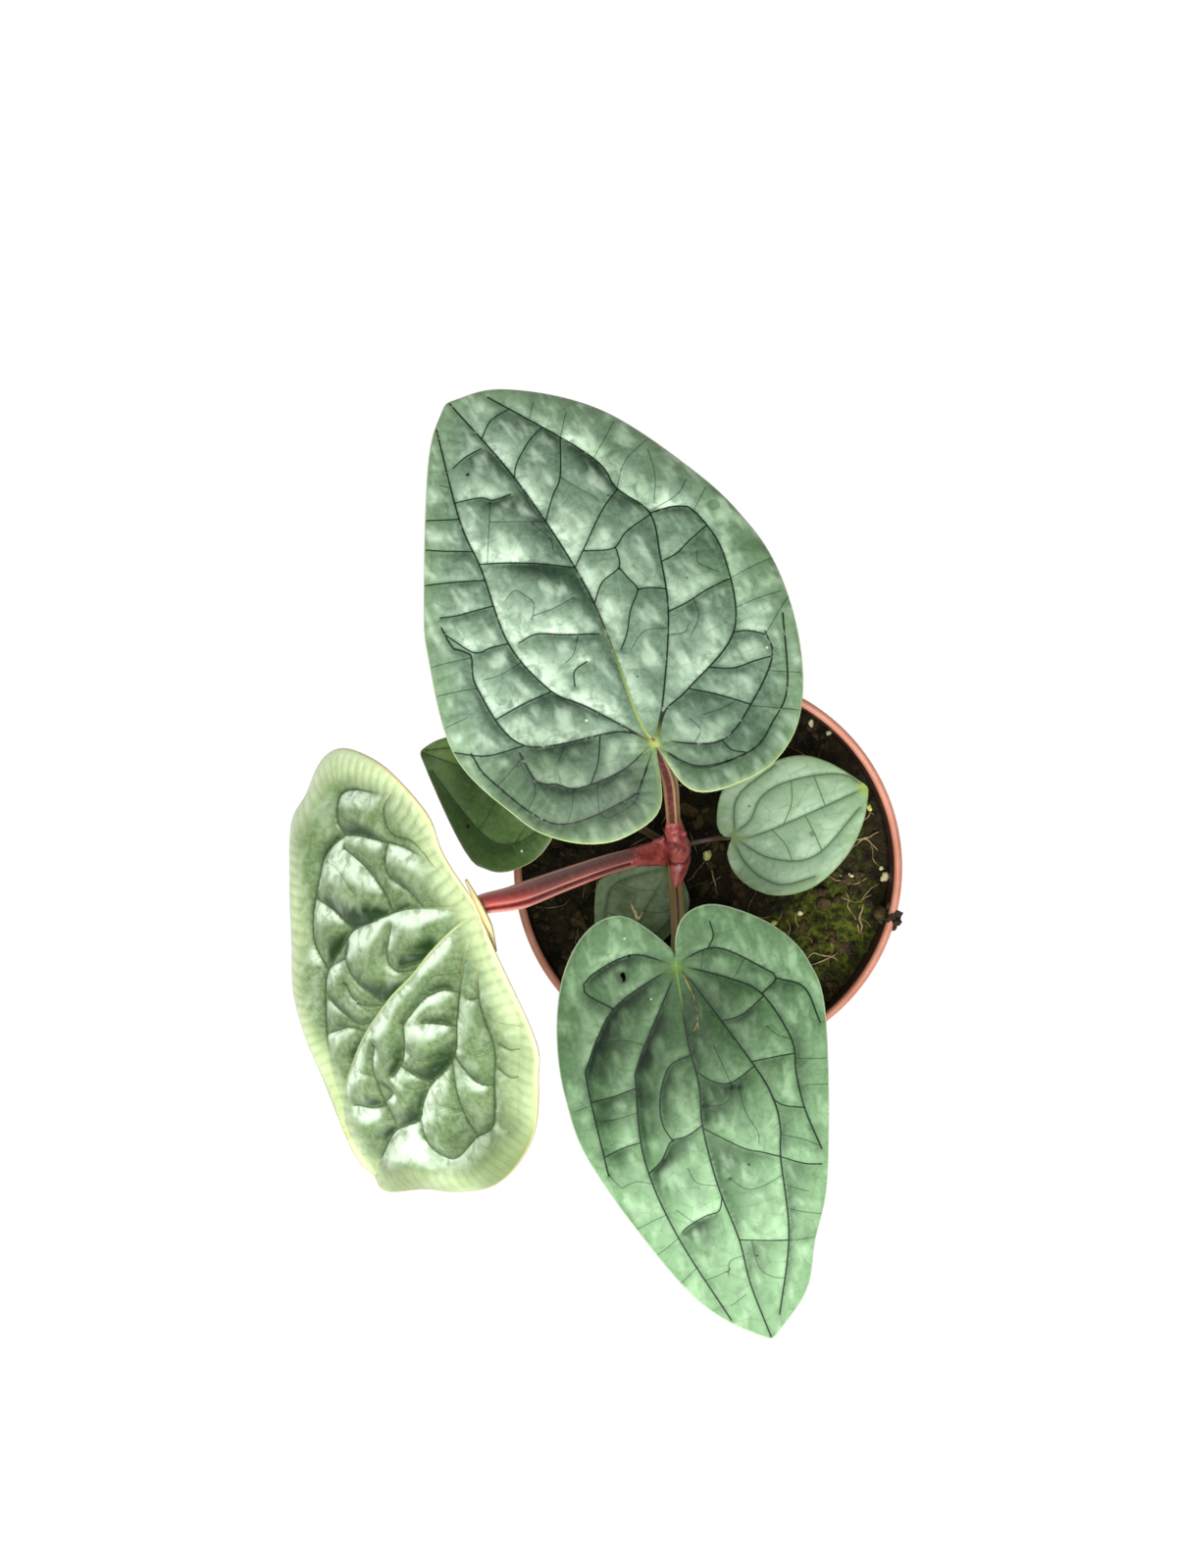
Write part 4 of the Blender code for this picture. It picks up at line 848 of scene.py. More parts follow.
def blade_lines(made, looks, colour):
    """The pleats, the finest net and the sunken veins, each in a dark line, with painted shade beside
    the veins and painted glints along them.
    """
    main, cross, vein = made.attribute("main"), made.attribute("cross"), looks["vein"]
    ribs = made.band(made.attribute("pleat"), 0.35, 0.95, 0.0, looks["rib_share"])
    colour = made.mix(ribs, colour, vein)
    net_line = made.band(made.attribute("net"), 0.05, 0.7, 1.0, 0.0)
    colour = made.mix(made.product(net_line, looks["net_dark"]), colour, vein)
    inner = made.band(made.attribute("margin"), looks["line_edge"], looks["line_edge"] + 4.0,
                      0.1, 1.0)
    # Painted shade in the hollows beside the main and cross veins.
    hollow = made.math("MAXIMUM", made.band(main, 0.1, 1.3, looks["hollow"], 0.0),
                       made.band(cross, 0.1, 1.1, looks["cross_hollow"], 0.0))
    colour = made.mix(made.product(hollow, inner), colour, vein)
    fine_line = made.band(made.attribute("fine"), 0.03, 0.24, 0.7 * looks["line"], 0.0)
    colour = made.mix(fine_line, colour, vein)
    colour = made.mix(made.band(cross, 0.08, 0.34, looks["line"], 0.0), colour, vein)
    main_line = made.product(made.band(main, 0.10, 0.40, looks["line"], 0.0), inner)
    colour = made.mix(main_line, colour, vein)
    # Painted glints: pale specks along the main veins.
    specks = made.product(made.band(made.noise(2.6, 3.0, 0.7), 0.58, 0.68),
                          made.band(main, 0.2, 0.6, looks["specks"], 0.0))
    return made.mix(specks, colour, CHALK)


def blade_ends(made, looks, colour):
    """The pale veins near the petiole joint, the leaf's bright edge and single marks."""
    margin, reach = made.attribute("margin"), made.attribute("reach")
    pale = made.product(made.band(made.attribute("main"), 0.15, 0.5, 1.0, 0.0),
                        made.band(reach, 2.0, looks["joint_reach"], looks["joint_share"], 0.0))
    colour = made.mix(pale, colour, looks["joint"])
    pale_rib = made.product(made.band(made.attribute("midrib"), 0.15, 0.45, 1.0, 0.0),
                            made.band(reach, looks["joint_reach"], looks["rib_reach"], 0.9, 0.0))
    colour = made.mix(pale_rib, colour, looks["joint"])
    colour = made.mix(made.band(reach, 0.6, 2.2, 0.9, 0.0), colour, looks["joint"])
    rim = made.product(made.band(margin, 0.1, 0.45, looks["edge_share"], 0.0),
                       made.band(reach, 3.0, 12.0, 0.1, 1.0))
    colour = made.mix(rim, colour, looks["edge"])
    lip = made.product(made.band(margin, 0.6, 1.5, looks["lip_share"], 0.0),
                       made.band(reach, *looks["lip_reach"], 1.0, 0.0))
    colour = made.mix(lip, colour, looks["lip"])
    return made.spots(colour, looks["marks"])


def blade_material(name, looks):
    """A blade's upper side: quilted tissue with sunken veins, a fine net, a tinted margin, and painted
    highlight and shade.
    """
    made = Shader(name, 0.4, looks["specular"])
    colour = blade_tissue(made, looks)
    for layer in (blade_slopes, blade_lines, blade_ends):
        colour = layer(made, looks, colour)
    made.set("Base Color", colour)
    dull = made.band(made.noise(2.6, 4.0), 0.3, 0.7, looks["roughness"] - 0.05,
                     looks["roughness"] + 0.08)
    made.set("Roughness", dull)
    grain = made.math("ADD", made.noise(0.55, 3.0, 0.6), made.product(made.cells(1.7), 0.3))
    made.set("Normal", made.bump(grain, looks["grain"], 0.10))
    return made.material


def underside_material(name, colour, vein):
    """A blade's lower side: paler and dull, with its veins standing out."""
    made = Shader(name, 0.55, 0.35)
    tone = made.band(made.noise(9.0, 4.0), 0.3, 0.7, 0.0, 0.35)
    tissue = made.mix(tone, colour, vein)
    line = made.band(made.attribute("main"), 0.3, 1.1, 0.8, 0.0)
    fine = made.band(made.attribute("cross"), 0.15, 0.7, 0.6, 0.0)
    made.set("Base Color", made.mix(made.math("MAXIMUM", line, fine), tissue, vein))
    made.set("Normal", made.bump(made.noise(0.8, 4.0), 0.35, 0.1))
    return made.material


BLACK = srgb(14, 12, 10)
CHALK = srgb(214, 222, 200)
# Painted shade for the bands beside the bottom leaf's strongest veins.
PAINTED_FOLD_SHADE = srgb(110, 150, 106)
# What a leaf has unless its own looks say otherwise. Shares run from 0 to 1, reaches and edges are in
# millimetres, and ranges are of how far a slope turns towards the light. shine and shade are the
# colours of the painted highlight and the painted shade.
PLAIN = dict(
    tints=[], painted_shade_spots=[], marks=[], rib_share=0.0, lip_share=0.0, lip_reach=(20.0, 30.0),
    lip=CHALK, joint_share=1.0, patch_low=0.35, shade_range=(-0.24, 0.02), dull_edge=-5.0,
    blotch=0.22, cross_hollow=0.0, shine_fall=(5.0, 6.0), patches=0.0, specks=0.0,
    line_edge=-5.0, shade_edge=-5.0,
)
LOOKS = {
    "top": PLAIN | dict(
        tissue=srgb(86, 116, 92), tissue_2=srgb(100, 130, 104), silver=srgb(120, 146, 124),
        silver_share=0.5, fleck=srgb(150, 172, 146), vein=srgb(6, 18, 8), line=0.95,
        net_dark=0.2, hollow=0.06, joint=srgb(150, 168, 84), joint_reach=6.5,
        joint_share=0.35, rib_reach=42.0, edge_share=0.6, dull_edge=7.0, shade_edge=7.0,
        band=11.0, band_share=0.55, band_colour=srgb(122, 152, 110), edge=srgb(184, 202, 138),
        roughness=0.42, specular=0.3, grain=0.5,
        shine=srgb(212, 236, 208), shine_share=0.95, shine_range=(-0.02, 0.24), patch_low=0.3,
        shade=srgb(24, 48, 28), shade_share=0.85, shade_range=(-0.24, 0.0),
        patches=0.55, specks=0.2,
        lip=srgb(176, 196, 120), lip_share=0.15, lip_reach=(30.0, 45.0),
        # Painted shade: darker back lobes, and a darker right side that damps the painted highlight
        # there.
        painted_shade_spots=[
            (-30.0, -2.0, 12.0, 30.0, 1.0, srgb(166, 176, 160)),
            (34.0, 64.0, 2.0, 11.0, 0.9, srgb(196, 208, 194)),
            (31.0, 78.0, 2.0, 11.0, 0.9, srgb(196, 208, 194)),
            (24.0, 94.0, 2.0, 10.0, 0.7, srgb(206, 214, 202)),
            (-8.0, -12.0, 5.0, 18.0, 0.8, srgb(186, 192, 180)),
            (16.0, -14.0, 8.0, 26.0, 1.0, srgb(182, 190, 182)),
            (50.0, 34.0, 8.0, 26.0, 0.6, srgb(225, 240, 218)),
        ],
        marks=[
            (48.5, 49.7, 1.5, 1.9, 0.55, srgb(70, 104, 62)),
            (48.5, 49.7, 0.8, 1.3, 0.6, srgb(112, 146, 98)),
            (-4.6, 91.6, 0.3, 0.7, 0.9, BLACK),
            (-12.0, 14.0, 0.2, 0.5, 0.8, CHALK),
            (38.9, 7.6, 0.2, 0.5, 0.8, CHALK),
            (24.9, 66.0, 0.15, 0.4, 0.8, BLACK),
            (30.5, 34.4, 0.15, 0.4, 0.8, BLACK),
            (5.2, 17.3, 0.15, 0.4, 0.8, BLACK),
        ]),
    "left": PLAIN | dict(
        tissue=srgb(74, 96, 56), tissue_2=srgb(90, 112, 70), silver=srgb(112, 134, 90),
        silver_share=0.4, fleck=srgb(146, 168, 124), vein=srgb(36, 56, 28), line=0.6,
        net_dark=0.05, hollow=0.3, cross_hollow=0.25, joint=srgb(178, 190, 136), joint_reach=30.0,
        joint_share=0.6, rib_reach=150.0, edge_share=0.7,
        band=12.5, band_share=0.9, band_colour=srgb(204, 222, 168), edge=srgb(206, 190, 128),
        roughness=0.34, specular=0.25, grain=0.45, rib_share=0.12, patch_low=0.35,
        dull_edge=7.0, shade_edge=15.0, line_edge=7.0, patches=0.15,
        shine=srgb(222, 244, 214), shine_share=1.0, shine_range=(0.02, 0.34),
        shine_fall=(0.55, 1.0),
        shade=srgb(20, 46, 12), shade_share=1.0, shade_range=(-0.42, 0.0),
        # Painted shade: darker spots over the margin's band on the blade's left side and near the tip.
        painted_shade_spots=[
            (-56.0, 60.0, 12.0, 32.0, 1.0, srgb(168, 174, 154)),
            (-34.0, 104.0, 8.0, 26.0, 0.9, srgb(174, 180, 160)),
            (-46.0, 20.0, 6.0, 24.0, 0.8, srgb(184, 190, 170)),
            (12.0, 104.0, 6.0, 20.0, 0.7, srgb(188, 196, 174)),
        ],
        lip=srgb(226, 218, 164), lip_share=0.9, lip_reach=(40.0, 58.0)),
    "bottom": PLAIN | dict(
        tissue=srgb(76, 108, 74), tissue_2=srgb(88, 122, 84), silver=srgb(104, 134, 100),
        silver_share=0.35, fleck=srgb(128, 160, 118), vein=srgb(6, 20, 8), line=0.95,
        net_dark=0.2, hollow=0.15, joint=srgb(84, 112, 46), joint_reach=6.0, rib_reach=16.0,
        joint_share=0.6, edge_share=0.6, dull_edge=4.0, shade_edge=4.0,
        band=9.0, band_share=0.25, band_colour=srgb(130, 166, 118), edge=srgb(195, 215, 175),
        roughness=0.45, specular=0.12, grain=0.5, patches=0.45,
        shine=srgb(178, 212, 170), shine_share=0.9, shine_range=(0.0, 0.30),
        shade=srgb(12, 40, 14), shade_share=1.0, shade_range=(-0.26, 0.04),
        # Painted light: the blade is paler over the half towards its tip.
        tints=[
            (4.0, 92.0, 15.0, 70.0, 0.8, srgb(132, 170, 126)),
        ],
        # Painted shade: darker near the joint and in bands beside the strong veins.
        painted_shade_spots=[
            (4.0, 14.0, 8.0, 56.0, 1.0, srgb(168, 176, 162)),
            (20.0, 22.0, 4.0, 28.0, 0.8, srgb(200, 206, 198)),
            (-6.0, 14.0, 3.0, 16.0, 0.7, srgb(176, 184, 174)),
            *((x, y, 0.5, reach, share, PAINTED_FOLD_SHADE) for x, y, reach, share in (
                (13.8, 24.0, 6.0, 0.6), (16.8, 33.0, 6.0, 0.65), (19.0, 43.0, 6.0, 0.65),
                (19.4, 52.0, 6.0, 0.6), (27.8, 23.0, 5.5, 0.5), (29.8, 31.0, 5.5, 0.6),
                (30.6, 39.0, 5.5, 0.6), (30.8, 48.0, 5.5, 0.5))),
        ],
        marks=[
            (-5.8, 60.5, 0.2, 0.5, 0.9, BLACK),
            (8.8, 7.1, 0.1, 0.4, 0.5, CHALK),
            (11.6, -11.0, 0.1, 0.5, 0.5, CHALK),
            (-1.8, 89.1, 0.2, 0.5, 0.8, BLACK),
            (14.7, -0.9, 1.6, 2.3, 0.5, srgb(40, 56, 36)),
        ]),
    "right": PLAIN | dict(
        tissue=srgb(120, 148, 114), tissue_2=srgb(134, 160, 126), silver=srgb(144, 168, 138),
        silver_share=0.4, fleck=srgb(148, 172, 142), vein=srgb(56, 82, 52), line=0.75,
        net_dark=0.25, hollow=0.35, joint=srgb(110, 130, 76), joint_reach=4.0, rib_reach=8.0,
        edge_share=0.6,
        band=6.0, band_share=0.4, band_colour=srgb(126, 150, 104), edge=srgb(120, 142, 76),
        roughness=0.55, specular=0.25, grain=0.35, patches=0.35,
        shine=srgb(190, 214, 186), shine_share=0.7, shine_range=(0.0, 0.26),
        shade=srgb(90, 122, 90), shade_share=0.5,
        marks=[(7.3, 23.3, 0.5, 1.3, 0.6, srgb(70, 84, 60)),
               (-7.1, 8.2, 0.2, 0.6, 0.7, srgb(60, 80, 56)),
               (0.0, 44.0, 1.0, 4.0, 0.7, srgb(150, 170, 74))]),
    "centre": PLAIN | dict(
        tissue=srgb(80, 98, 62), tissue_2=srgb(108, 126, 86), silver=srgb(118, 134, 98),
        silver_share=0.4, fleck=srgb(140, 156, 126), vein=srgb(60, 80, 54), line=0.6,
        net_dark=0.3, hollow=0.4, joint=srgb(96, 112, 66), joint_reach=4.0, rib_reach=8.0,
        edge_share=0.5,
        band=5.0, band_share=0.3, band_colour=srgb(126, 150, 110), edge=srgb(156, 176, 130),
        roughness=0.55, specular=0.25, grain=0.45, patches=0.5,
        shine=srgb(156, 178, 146), shine_share=0.8, shine_range=(0.0, 0.24),
        shade=srgb(44, 60, 38), shade_share=0.8, blotch=0.6),
    "dark": PLAIN | dict(
        tissue=srgb(44, 64, 28), tissue_2=srgb(58, 82, 36), silver=srgb(70, 92, 44),
        silver_share=0.4, fleck=srgb(92, 118, 72), vein=srgb(24, 40, 20), line=0.6,
        net_dark=0.15, hollow=0.2, joint=srgb(60, 90, 50), joint_reach=4.0, rib_reach=8.0,
        edge_share=0.8,
        band=6.0, band_share=0.25, band_colour=srgb(92, 122, 66), edge=srgb(150, 150, 104),
        roughness=0.30, specular=0.35, grain=0.35,
        shine=srgb(120, 152, 104), shine_share=0.7, shine_range=(0.05, 0.40),
        shade=srgb(22, 42, 20), shade_share=0.5,
        # Painted sheen: paler green spots over the blade, most along its left side and near its tip.
        tints=[(-2.0, 44.0, 3.0, 16.0, 0.7, srgb(140, 168, 92)),
               (10.0, 30.0, 2.0, 14.0, 0.5, srgb(140, 164, 112)),
               (-2.7, 41.7, 1.0, 7.0, 0.7, srgb(120, 146, 110)),
               (-6.3, 36.4, 1.0, 6.0, 0.6, srgb(110, 136, 98)),
               (-9.6, 31.9, 1.0, 5.5, 0.5, srgb(100, 126, 84)),
               (-15.0, 19.3, 2.0, 9.0, 0.4, srgb(84, 112, 60)),
               (-6.9, 10.6, 2.0, 9.0, 0.4, srgb(84, 112, 60))],
        marks=[(-16.5, 24.7, 0.3, 0.8, 0.95, BLACK), (-17.3, 6.7, 0.2, 0.5, 0.8, CHALK)]),
}
UNDERSIDES = {
    "top": (srgb(128, 152, 122), srgb(160, 178, 138)),
    "left": (srgb(160, 178, 120), srgb(186, 198, 138)),
    "bottom": (srgb(136, 164, 124), srgb(165, 186, 140)),
    "right": (srgb(150, 174, 136), srgb(170, 190, 150)),
    "centre": (srgb(130, 155, 118), srgb(150, 172, 130)),
    "dark": (srgb(96, 124, 84), srgb(125, 148, 104)),
}
BLADE_SLOTS = {
    "top": "blade_silver", "left": "blade_yellow", "bottom": "blade_light",
    "right": "blade_pale", "centre": "blade_light", "dark": "blade_dark",
}


# Petioles

PETIOLES = {
    "top": dict(
        route=[(-11.6, 9.5, 113.5), (-12.3, 15.5, 119.5), (-13.4, 22.0, 130.0),
               (-14.8, 27.5, 142.0), (-17.6, 33.0, 155.0)],
        widths=[(0.0, 2.0), (0.5, 2.2), (0.8, 2.1), (1.0, 1.2)], groove=(0.38, -0.28, 0.42)),
    "left": dict(
        route=[(-14.0, 6.6, 112.0), (-22.0, 4.9, 118.5), (-32.0, 2.8, 128.0),
               (-44.0, -0.6, 140.0), (-56.0, -4.2, 153.0)],
        widths=[(0.0, 2.6), (0.45, 3.0), (0.8, 3.5), (1.0, 2.6)], groove=(0.42, -0.48, 0.20)),
    "bottom": dict(
        route=[(-11.4, 4.4, 110.0), (-11.3, -3.0, 114.5), (-11.2, -9.5, 121.0),
               (-11.5, -16.5, 129.5), (-12.5, -22.0, 138.0)],
        widths=[(0.0, 2.3), (0.5, 2.2), (0.85, 1.9), (1.0, 1.3)], groove=(0.32, 0.0, 0.20)),
    "right": dict(
        route=[(-7.6, 7.2, 97.5), (-3.0, 8.2, 98.2), (2.0, 9.2, 99.5)],
        widths=[(0.0, 0.9), (0.6, 0.75), (1.0, 0.7)], groove=(0.2, 0.0, 0.3)),
    "centre": dict(
        route=[(-11.8, 3.1, 94.5), (-12.0, 1.6, 95.0), (-12.3, 0.2, 96.0)],
        widths=[(0.0, 0.9), (0.6, 0.8), (1.0, 0.7)], groove=(0.2, 0.0, 0.3)),
    "dark": dict(
        route=[(-14.9, 8.8, 102.0), (-24.0, 14.0, 106.0), (-34.0, 17.5, 112.0),
               (-42.0, 19.6, 117.5)],
        widths=[(0.0, 1.2), (0.5, 1.1), (1.0, 0.9)], groove=(0.2, 0.0, 0.3)),
}
TUBE_SIDES = 44
TUBE_STEP = 0.8
SECTION_HEIGHT = 0.9         # a stalk's height as a share of its width
UNDER_LEVEL = -0.2           # the lower side's colour starts this far below a stalk's middle
STALK_ENDS = (               # ahead of the joint, and height over a seat half a stalk below it
    (0.2, 0.2), (3.0, -0.4))


def grooved(sides, depth, middle, width):
    """A stalk's section in half widths: round, with a groove along its top."""
    turns = np.arange(sides) * math.tau / sides
    x, y = np.cos(turns), SECTION_HEIGHT * np.sin(turns)
    y = y - depth * np.exp(-((x - middle) / width) ** 2) * (np.sin(turns) > 0)
    return np.column_stack([x, y])


def swept(name, route, widths, inward, groove, sides=TUBE_SIDES):
    """A closed tube along a smooth route, its section's top turned up and towards the stem."""
    path = through(route, TUBE_STEP)
    reached = np.concatenate([[0.0], np.cumsum(np.linalg.norm(np.diff(path, axis=0), axis=1))])
    places = reached / reached[-1]
    half = np.interp(places, [place for place, _ in widths], [width for _, width in widths])
    section = grooved(sides, *groove)
    vertices, values, across, under = [], [], [], []
    for i, point in enumerate(path):
        ahead = Vector(path[min(i + 1, len(path) - 1)] - path[max(i - 1, 0)]).normalized()
        side = ahead.cross(Vector((inward[0], inward[1], 1.0)).normalized()).normalized()
        up = side.cross(ahead)
        for x, y in section:
            vertices.append(Vector(point) + side * x * half[i] + up * y * half[i])
            values.append(places[i])
            across.append((x + 1) / 2)
            under.append(float(y < UNDER_LEVEL))
    faces = []
    for ring in range(len(path) - 1):
        for i in range(sides):
            j = (i + 1) % sides
            faces.append((ring * sides + i, ring * sides + j,
                          (ring + 1) * sides + j, (ring + 1) * sides + i))
    last = (len(path) - 1) * sides
    faces.append(tuple(reversed(range(sides))))
    faces.append(tuple(range(last, last + sides)))
    mesh = bpy.data.meshes.new(name)
    mesh.from_pydata([tuple(vertex * MM) for vertex in vertices], [], faces)
    mesh.update()
    for key, value in (("along", values), ("across", across), ("under", under)):
        layer = mesh.attributes.new(key, "FLOAT", "POINT")
        layer.data.foreach_set("value", np.array(value, np.float32))
    return mesh


def petiole_route(leaf_name, spec):
    """The stalk's route, carried on under the joint to the start of the midrib."""
    place = leaf_frame(LEAVES[leaf_name])
    depth = SECTION_HEIGHT * spec["widths"][-1][1]
    ends = [(0.0, ahead, lift - depth) for ahead, lift in STALK_ENDS]
    return [*spec["route"], *(tuple(place @ Vector(end)) for end in ends)]


def petiole_material(name, foot, tip, below):
    """A stalk's skin: bands of colour across it, which change from its foot to its blade."""
    made = Shader(name, 0.38, 0.5)
    across = made.attribute("across")
    low = made.ramp(across, [(place, srgb(*colour)) for place, colour in foot])
    high = made.ramp(across, [(place, srgb(*colour)) for place, colour in tip])
    colour = made.mix(made.band(made.attribute("along"), 0.60, 1.0), low, high)
    colour = made.mix(made.attribute("under"), colour, srgb(*below))
    streak = made.band(made.noise(1.4, 4.0, 0.6), 0.40, 0.75, 0.0, 0.30)
    colour = made.mix(streak, colour, srgb(*foot[-1][1]))
    made.set("Base Color", colour)
    made.set("Normal", made.bump(made.noise(0.7, 4.0), 0.35, 0.12))
    return made.material


def make_petiole(leaf_name, material, slot):
    """A leaf stalk from inside the crown to the start of the midrib."""
    spec = PETIOLES[leaf_name]
    route = petiole_route(leaf_name, spec)
    start, end = Vector(route[0]), Vector(route[-1])
    inward = (Vector((start.x, start.y)) - Vector((end.x, end.y))).normalized()
    last = spec["widths"][-1][1]
    length = sum((Vector(b) - Vector(a)).length for a, b in zip(route, route[1:]))
    joint = 1.0 - STALK_ENDS[-1][0] / length
    widths = [(place * joint, width) for place, width in spec["widths"]]
    widths.append((1.0, last * 0.5))
    mesh = swept(f"stalk_{leaf_name}", route, widths, inward, spec["groove"])
    stalk = link(f"stalk_{leaf_name}", mesh, [material], slot, f"petiole_{leaf_name}")
    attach(stalk, "root")


STALK_COLOURS = {            # bands at the foot and at the blade, and the lower side
    "maroon": (
        [(0.0, (160, 122, 92)), (0.10, (132, 92, 68)), (0.17, (84, 32, 24)), (0.34, (66, 20, 16)),
         (0.50, (80, 32, 24)), (0.57, (168, 130, 98)), (0.66, (118, 90, 60)),
         (0.76, (66, 44, 30)), (0.84, (124, 100, 66)), (1.0, (156, 124, 92))],
        [(0.0, (150, 112, 86)), (0.10, (124, 84, 62)), (0.17, (92, 38, 28)), (0.34, (74, 24, 18)),
         (0.50, (86, 36, 28)), (0.57, (150, 112, 84)), (0.66, (116, 84, 58)),
         (0.76, (76, 50, 34)), (0.84, (120, 92, 62)), (1.0, (150, 116, 88))],
        (120, 84, 60)),
    "red": (
        [(0.0, (196, 140, 122)), (0.12, (168, 92, 82)), (0.20, (74, 24, 26)),
         (0.29, (62, 20, 22)), (0.35, (206, 134, 120)), (0.42, (114, 58, 52)),
         (0.70, (84, 46, 40)), (0.90, (98, 60, 52)), (0.96, (196, 148, 130)),
         (1.0, (160, 96, 84))],
        [(0.0, (222, 158, 142)), (0.12, (190, 100, 92)), (0.21, (120, 30, 32)),
         (0.28, (136, 40, 40)), (0.36, (204, 110, 100)), (0.50, (168, 70, 64)),
         (0.70, (140, 56, 52)), (0.88, (166, 88, 78)), (0.96, (214, 158, 138)),
         (1.0, (180, 110, 96))],
        (150, 76, 68)),
    "olive": (
        [(0.0, (124, 104, 62)), (0.22, (112, 96, 50)), (0.40, (132, 112, 66)),
         (0.47, (64, 30, 24)), (0.55, (58, 26, 22)), (0.62, (130, 108, 62)),
         (0.80, (106, 90, 46)), (1.0, (120, 98, 60))],
        [(0.0, (118, 112, 60)), (0.22, (106, 104, 48)), (0.40, (122, 116, 62)),
         (0.47, (62, 40, 24)), (0.55, (58, 36, 22)), (0.62, (120, 112, 58)),
         (0.80, (102, 98, 44)), (1.0, (114, 106, 58))],
        (104, 92, 52)),
    "brown": (
        [(0.0, (84, 66, 48)), (0.45, (62, 46, 34)), (1.0, (92, 72, 52))],
        [(0.0, (96, 86, 52)), (0.45, (72, 62, 38)), (1.0, (100, 90, 56))],
        (60, 46, 34)),
}


def turned(profile, segments, centre=(0.0, 0.0)):
    """A closed body turned about a vertical axis from (radius, height) points."""
    bm = bmesh.new()
    points = [bm.verts.new((radius, 0.0, height)) for radius, height in profile]
    lines = [bm.edges.new(pair) for pair in zip(points, points[1:])]
    bmesh.ops.spin(bm, geom=points + lines, axis=(0, 0, 1), cent=(0, 0, 0),
                   steps=segments, angle=math.tau, use_merge=True)
    bmesh.ops.remove_doubles(bm, verts=bm.verts, dist=0.001)
    bmesh.ops.recalc_face_normals(bm, faces=bm.faces)
    bmesh.ops.translate(bm, vec=(centre[0], centre[1], 0.0), verts=bm.verts)
    return bm


def mesh_from(bm, name):
    """A mesh in metres from a shape in millimetres."""
    bmesh.ops.scale(bm, vec=(MM, MM, MM), verts=bm.verts)
    mesh = bpy.data.meshes.new(name)
    bm.to_mesh(mesh)
    bm.free()
    return mesh


def evaluated(item):
    """The item's mesh with its modifiers applied."""
    bpy.context.view_layer.update()
    graph = bpy.context.evaluated_depsgraph_get()
    mesh = bpy.data.meshes.new_from_object(item.evaluated_get(graph))
    item.modifiers.clear()
    return mesh


CROWN_SHELLS = {             # tubes: a route and half widths; lumps: a place and half sizes
    "crown_knot": dict(
        tubes=[([(-11.2, 9.0, 113.0), (-11.8, 12.5, 116.5), (-12.0, 15.5, 119.0)],
                [(0.0, 3.4), (0.6, 3.0), (1.0, 2.1)])],
        lumps=[((-10.5, 6.5, 115.2), (3.7, 5.2, 5.2)), ((-10.2, 2.4, 113.6), (2.9, 3.4, 4.2)),
               ((-11.5, 10.2, 115.6), (3.4, 3.8, 4.0)), ((-13.7, 13.6, 118.6), (1.0, 1.1, 1.0)),
               ((-9.0, 11.4, 118.2), (0.9, 1.0, 0.9))]),
    "crown_left": dict(
        tubes=[([(-10.5, 5.8, 112.5), (-16.0, 5.6, 114.8), (-22.5, 4.8, 119.0),
                 (-26.0, 4.1, 122.2)],
                [(0.0, 3.8), (0.4, 3.7), (0.8, 3.0), (1.0, 2.6)])],
        lumps=[((-16.0, 9.0, 116.4), (2.4, 1.0, 1.2)), ((-15.0, 10.0, 116.8), (0.9, 0.9, 0.9)),
               ((-15.2, 3.2, 114.6), (2.6, 1.6, 2.4))]),
    "crown_lower": dict(
        tubes=[([(-9.6, 5.4, 115.4), (-10.3, 1.4, 116.0), (-11.1, -2.4, 116.5),
                 (-11.7, -4.8, 117.6)],
                [(0.0, 3.0), (0.35, 2.9), (0.7, 1.9), (1.0, 0.3)])],
        lumps=[((-9.0, 4.4, 115.6), (2.0, 2.6, 2.6))]),
}


CROWN_VOXEL = 0.38
CROWN_SOFTENING = 7
WRINKLE_SIZE = (1.1, 1.1, 3.2)
WRINKLE_DEPTH = 0.16
CROWN_SIDES = 24
STEM_SEGMENTS = 40


def grown(name, parts):
    """Parts grown together into one smooth, lightly wrinkled skin."""
    bm = bmesh.new()
    for part in parts:
        bm.from_mesh(part)
        bpy.data.meshes.remove(part)
    mesh = bpy.data.meshes.new(name)
    bm.to_mesh(mesh)
    bm.free()
    body = bpy.data.objects.new(name, mesh)
    bpy.context.scene.collection.objects.link(body)
    remesh = body.modifiers.new("grown", "REMESH")
    remesh.mode = "VOXEL"
    remesh.voxel_size = CROWN_VOXEL * MM
    soften = body.modifiers.new("soften", "SMOOTH")
    soften.factor = 0.5
    soften.iterations = CROWN_SOFTENING
    mesh = evaluated(body)
    bpy.data.objects.remove(body, do_unlink=True)
    for vertex in mesh.vertices:
        place = [value / size / MM for value, size in zip(vertex.co, WRINKLE_SIZE)]
        vertex.co += vertex.normal * (WRINKLE_DEPTH * noise.noise(Vector(place)) * MM)
    return mesh


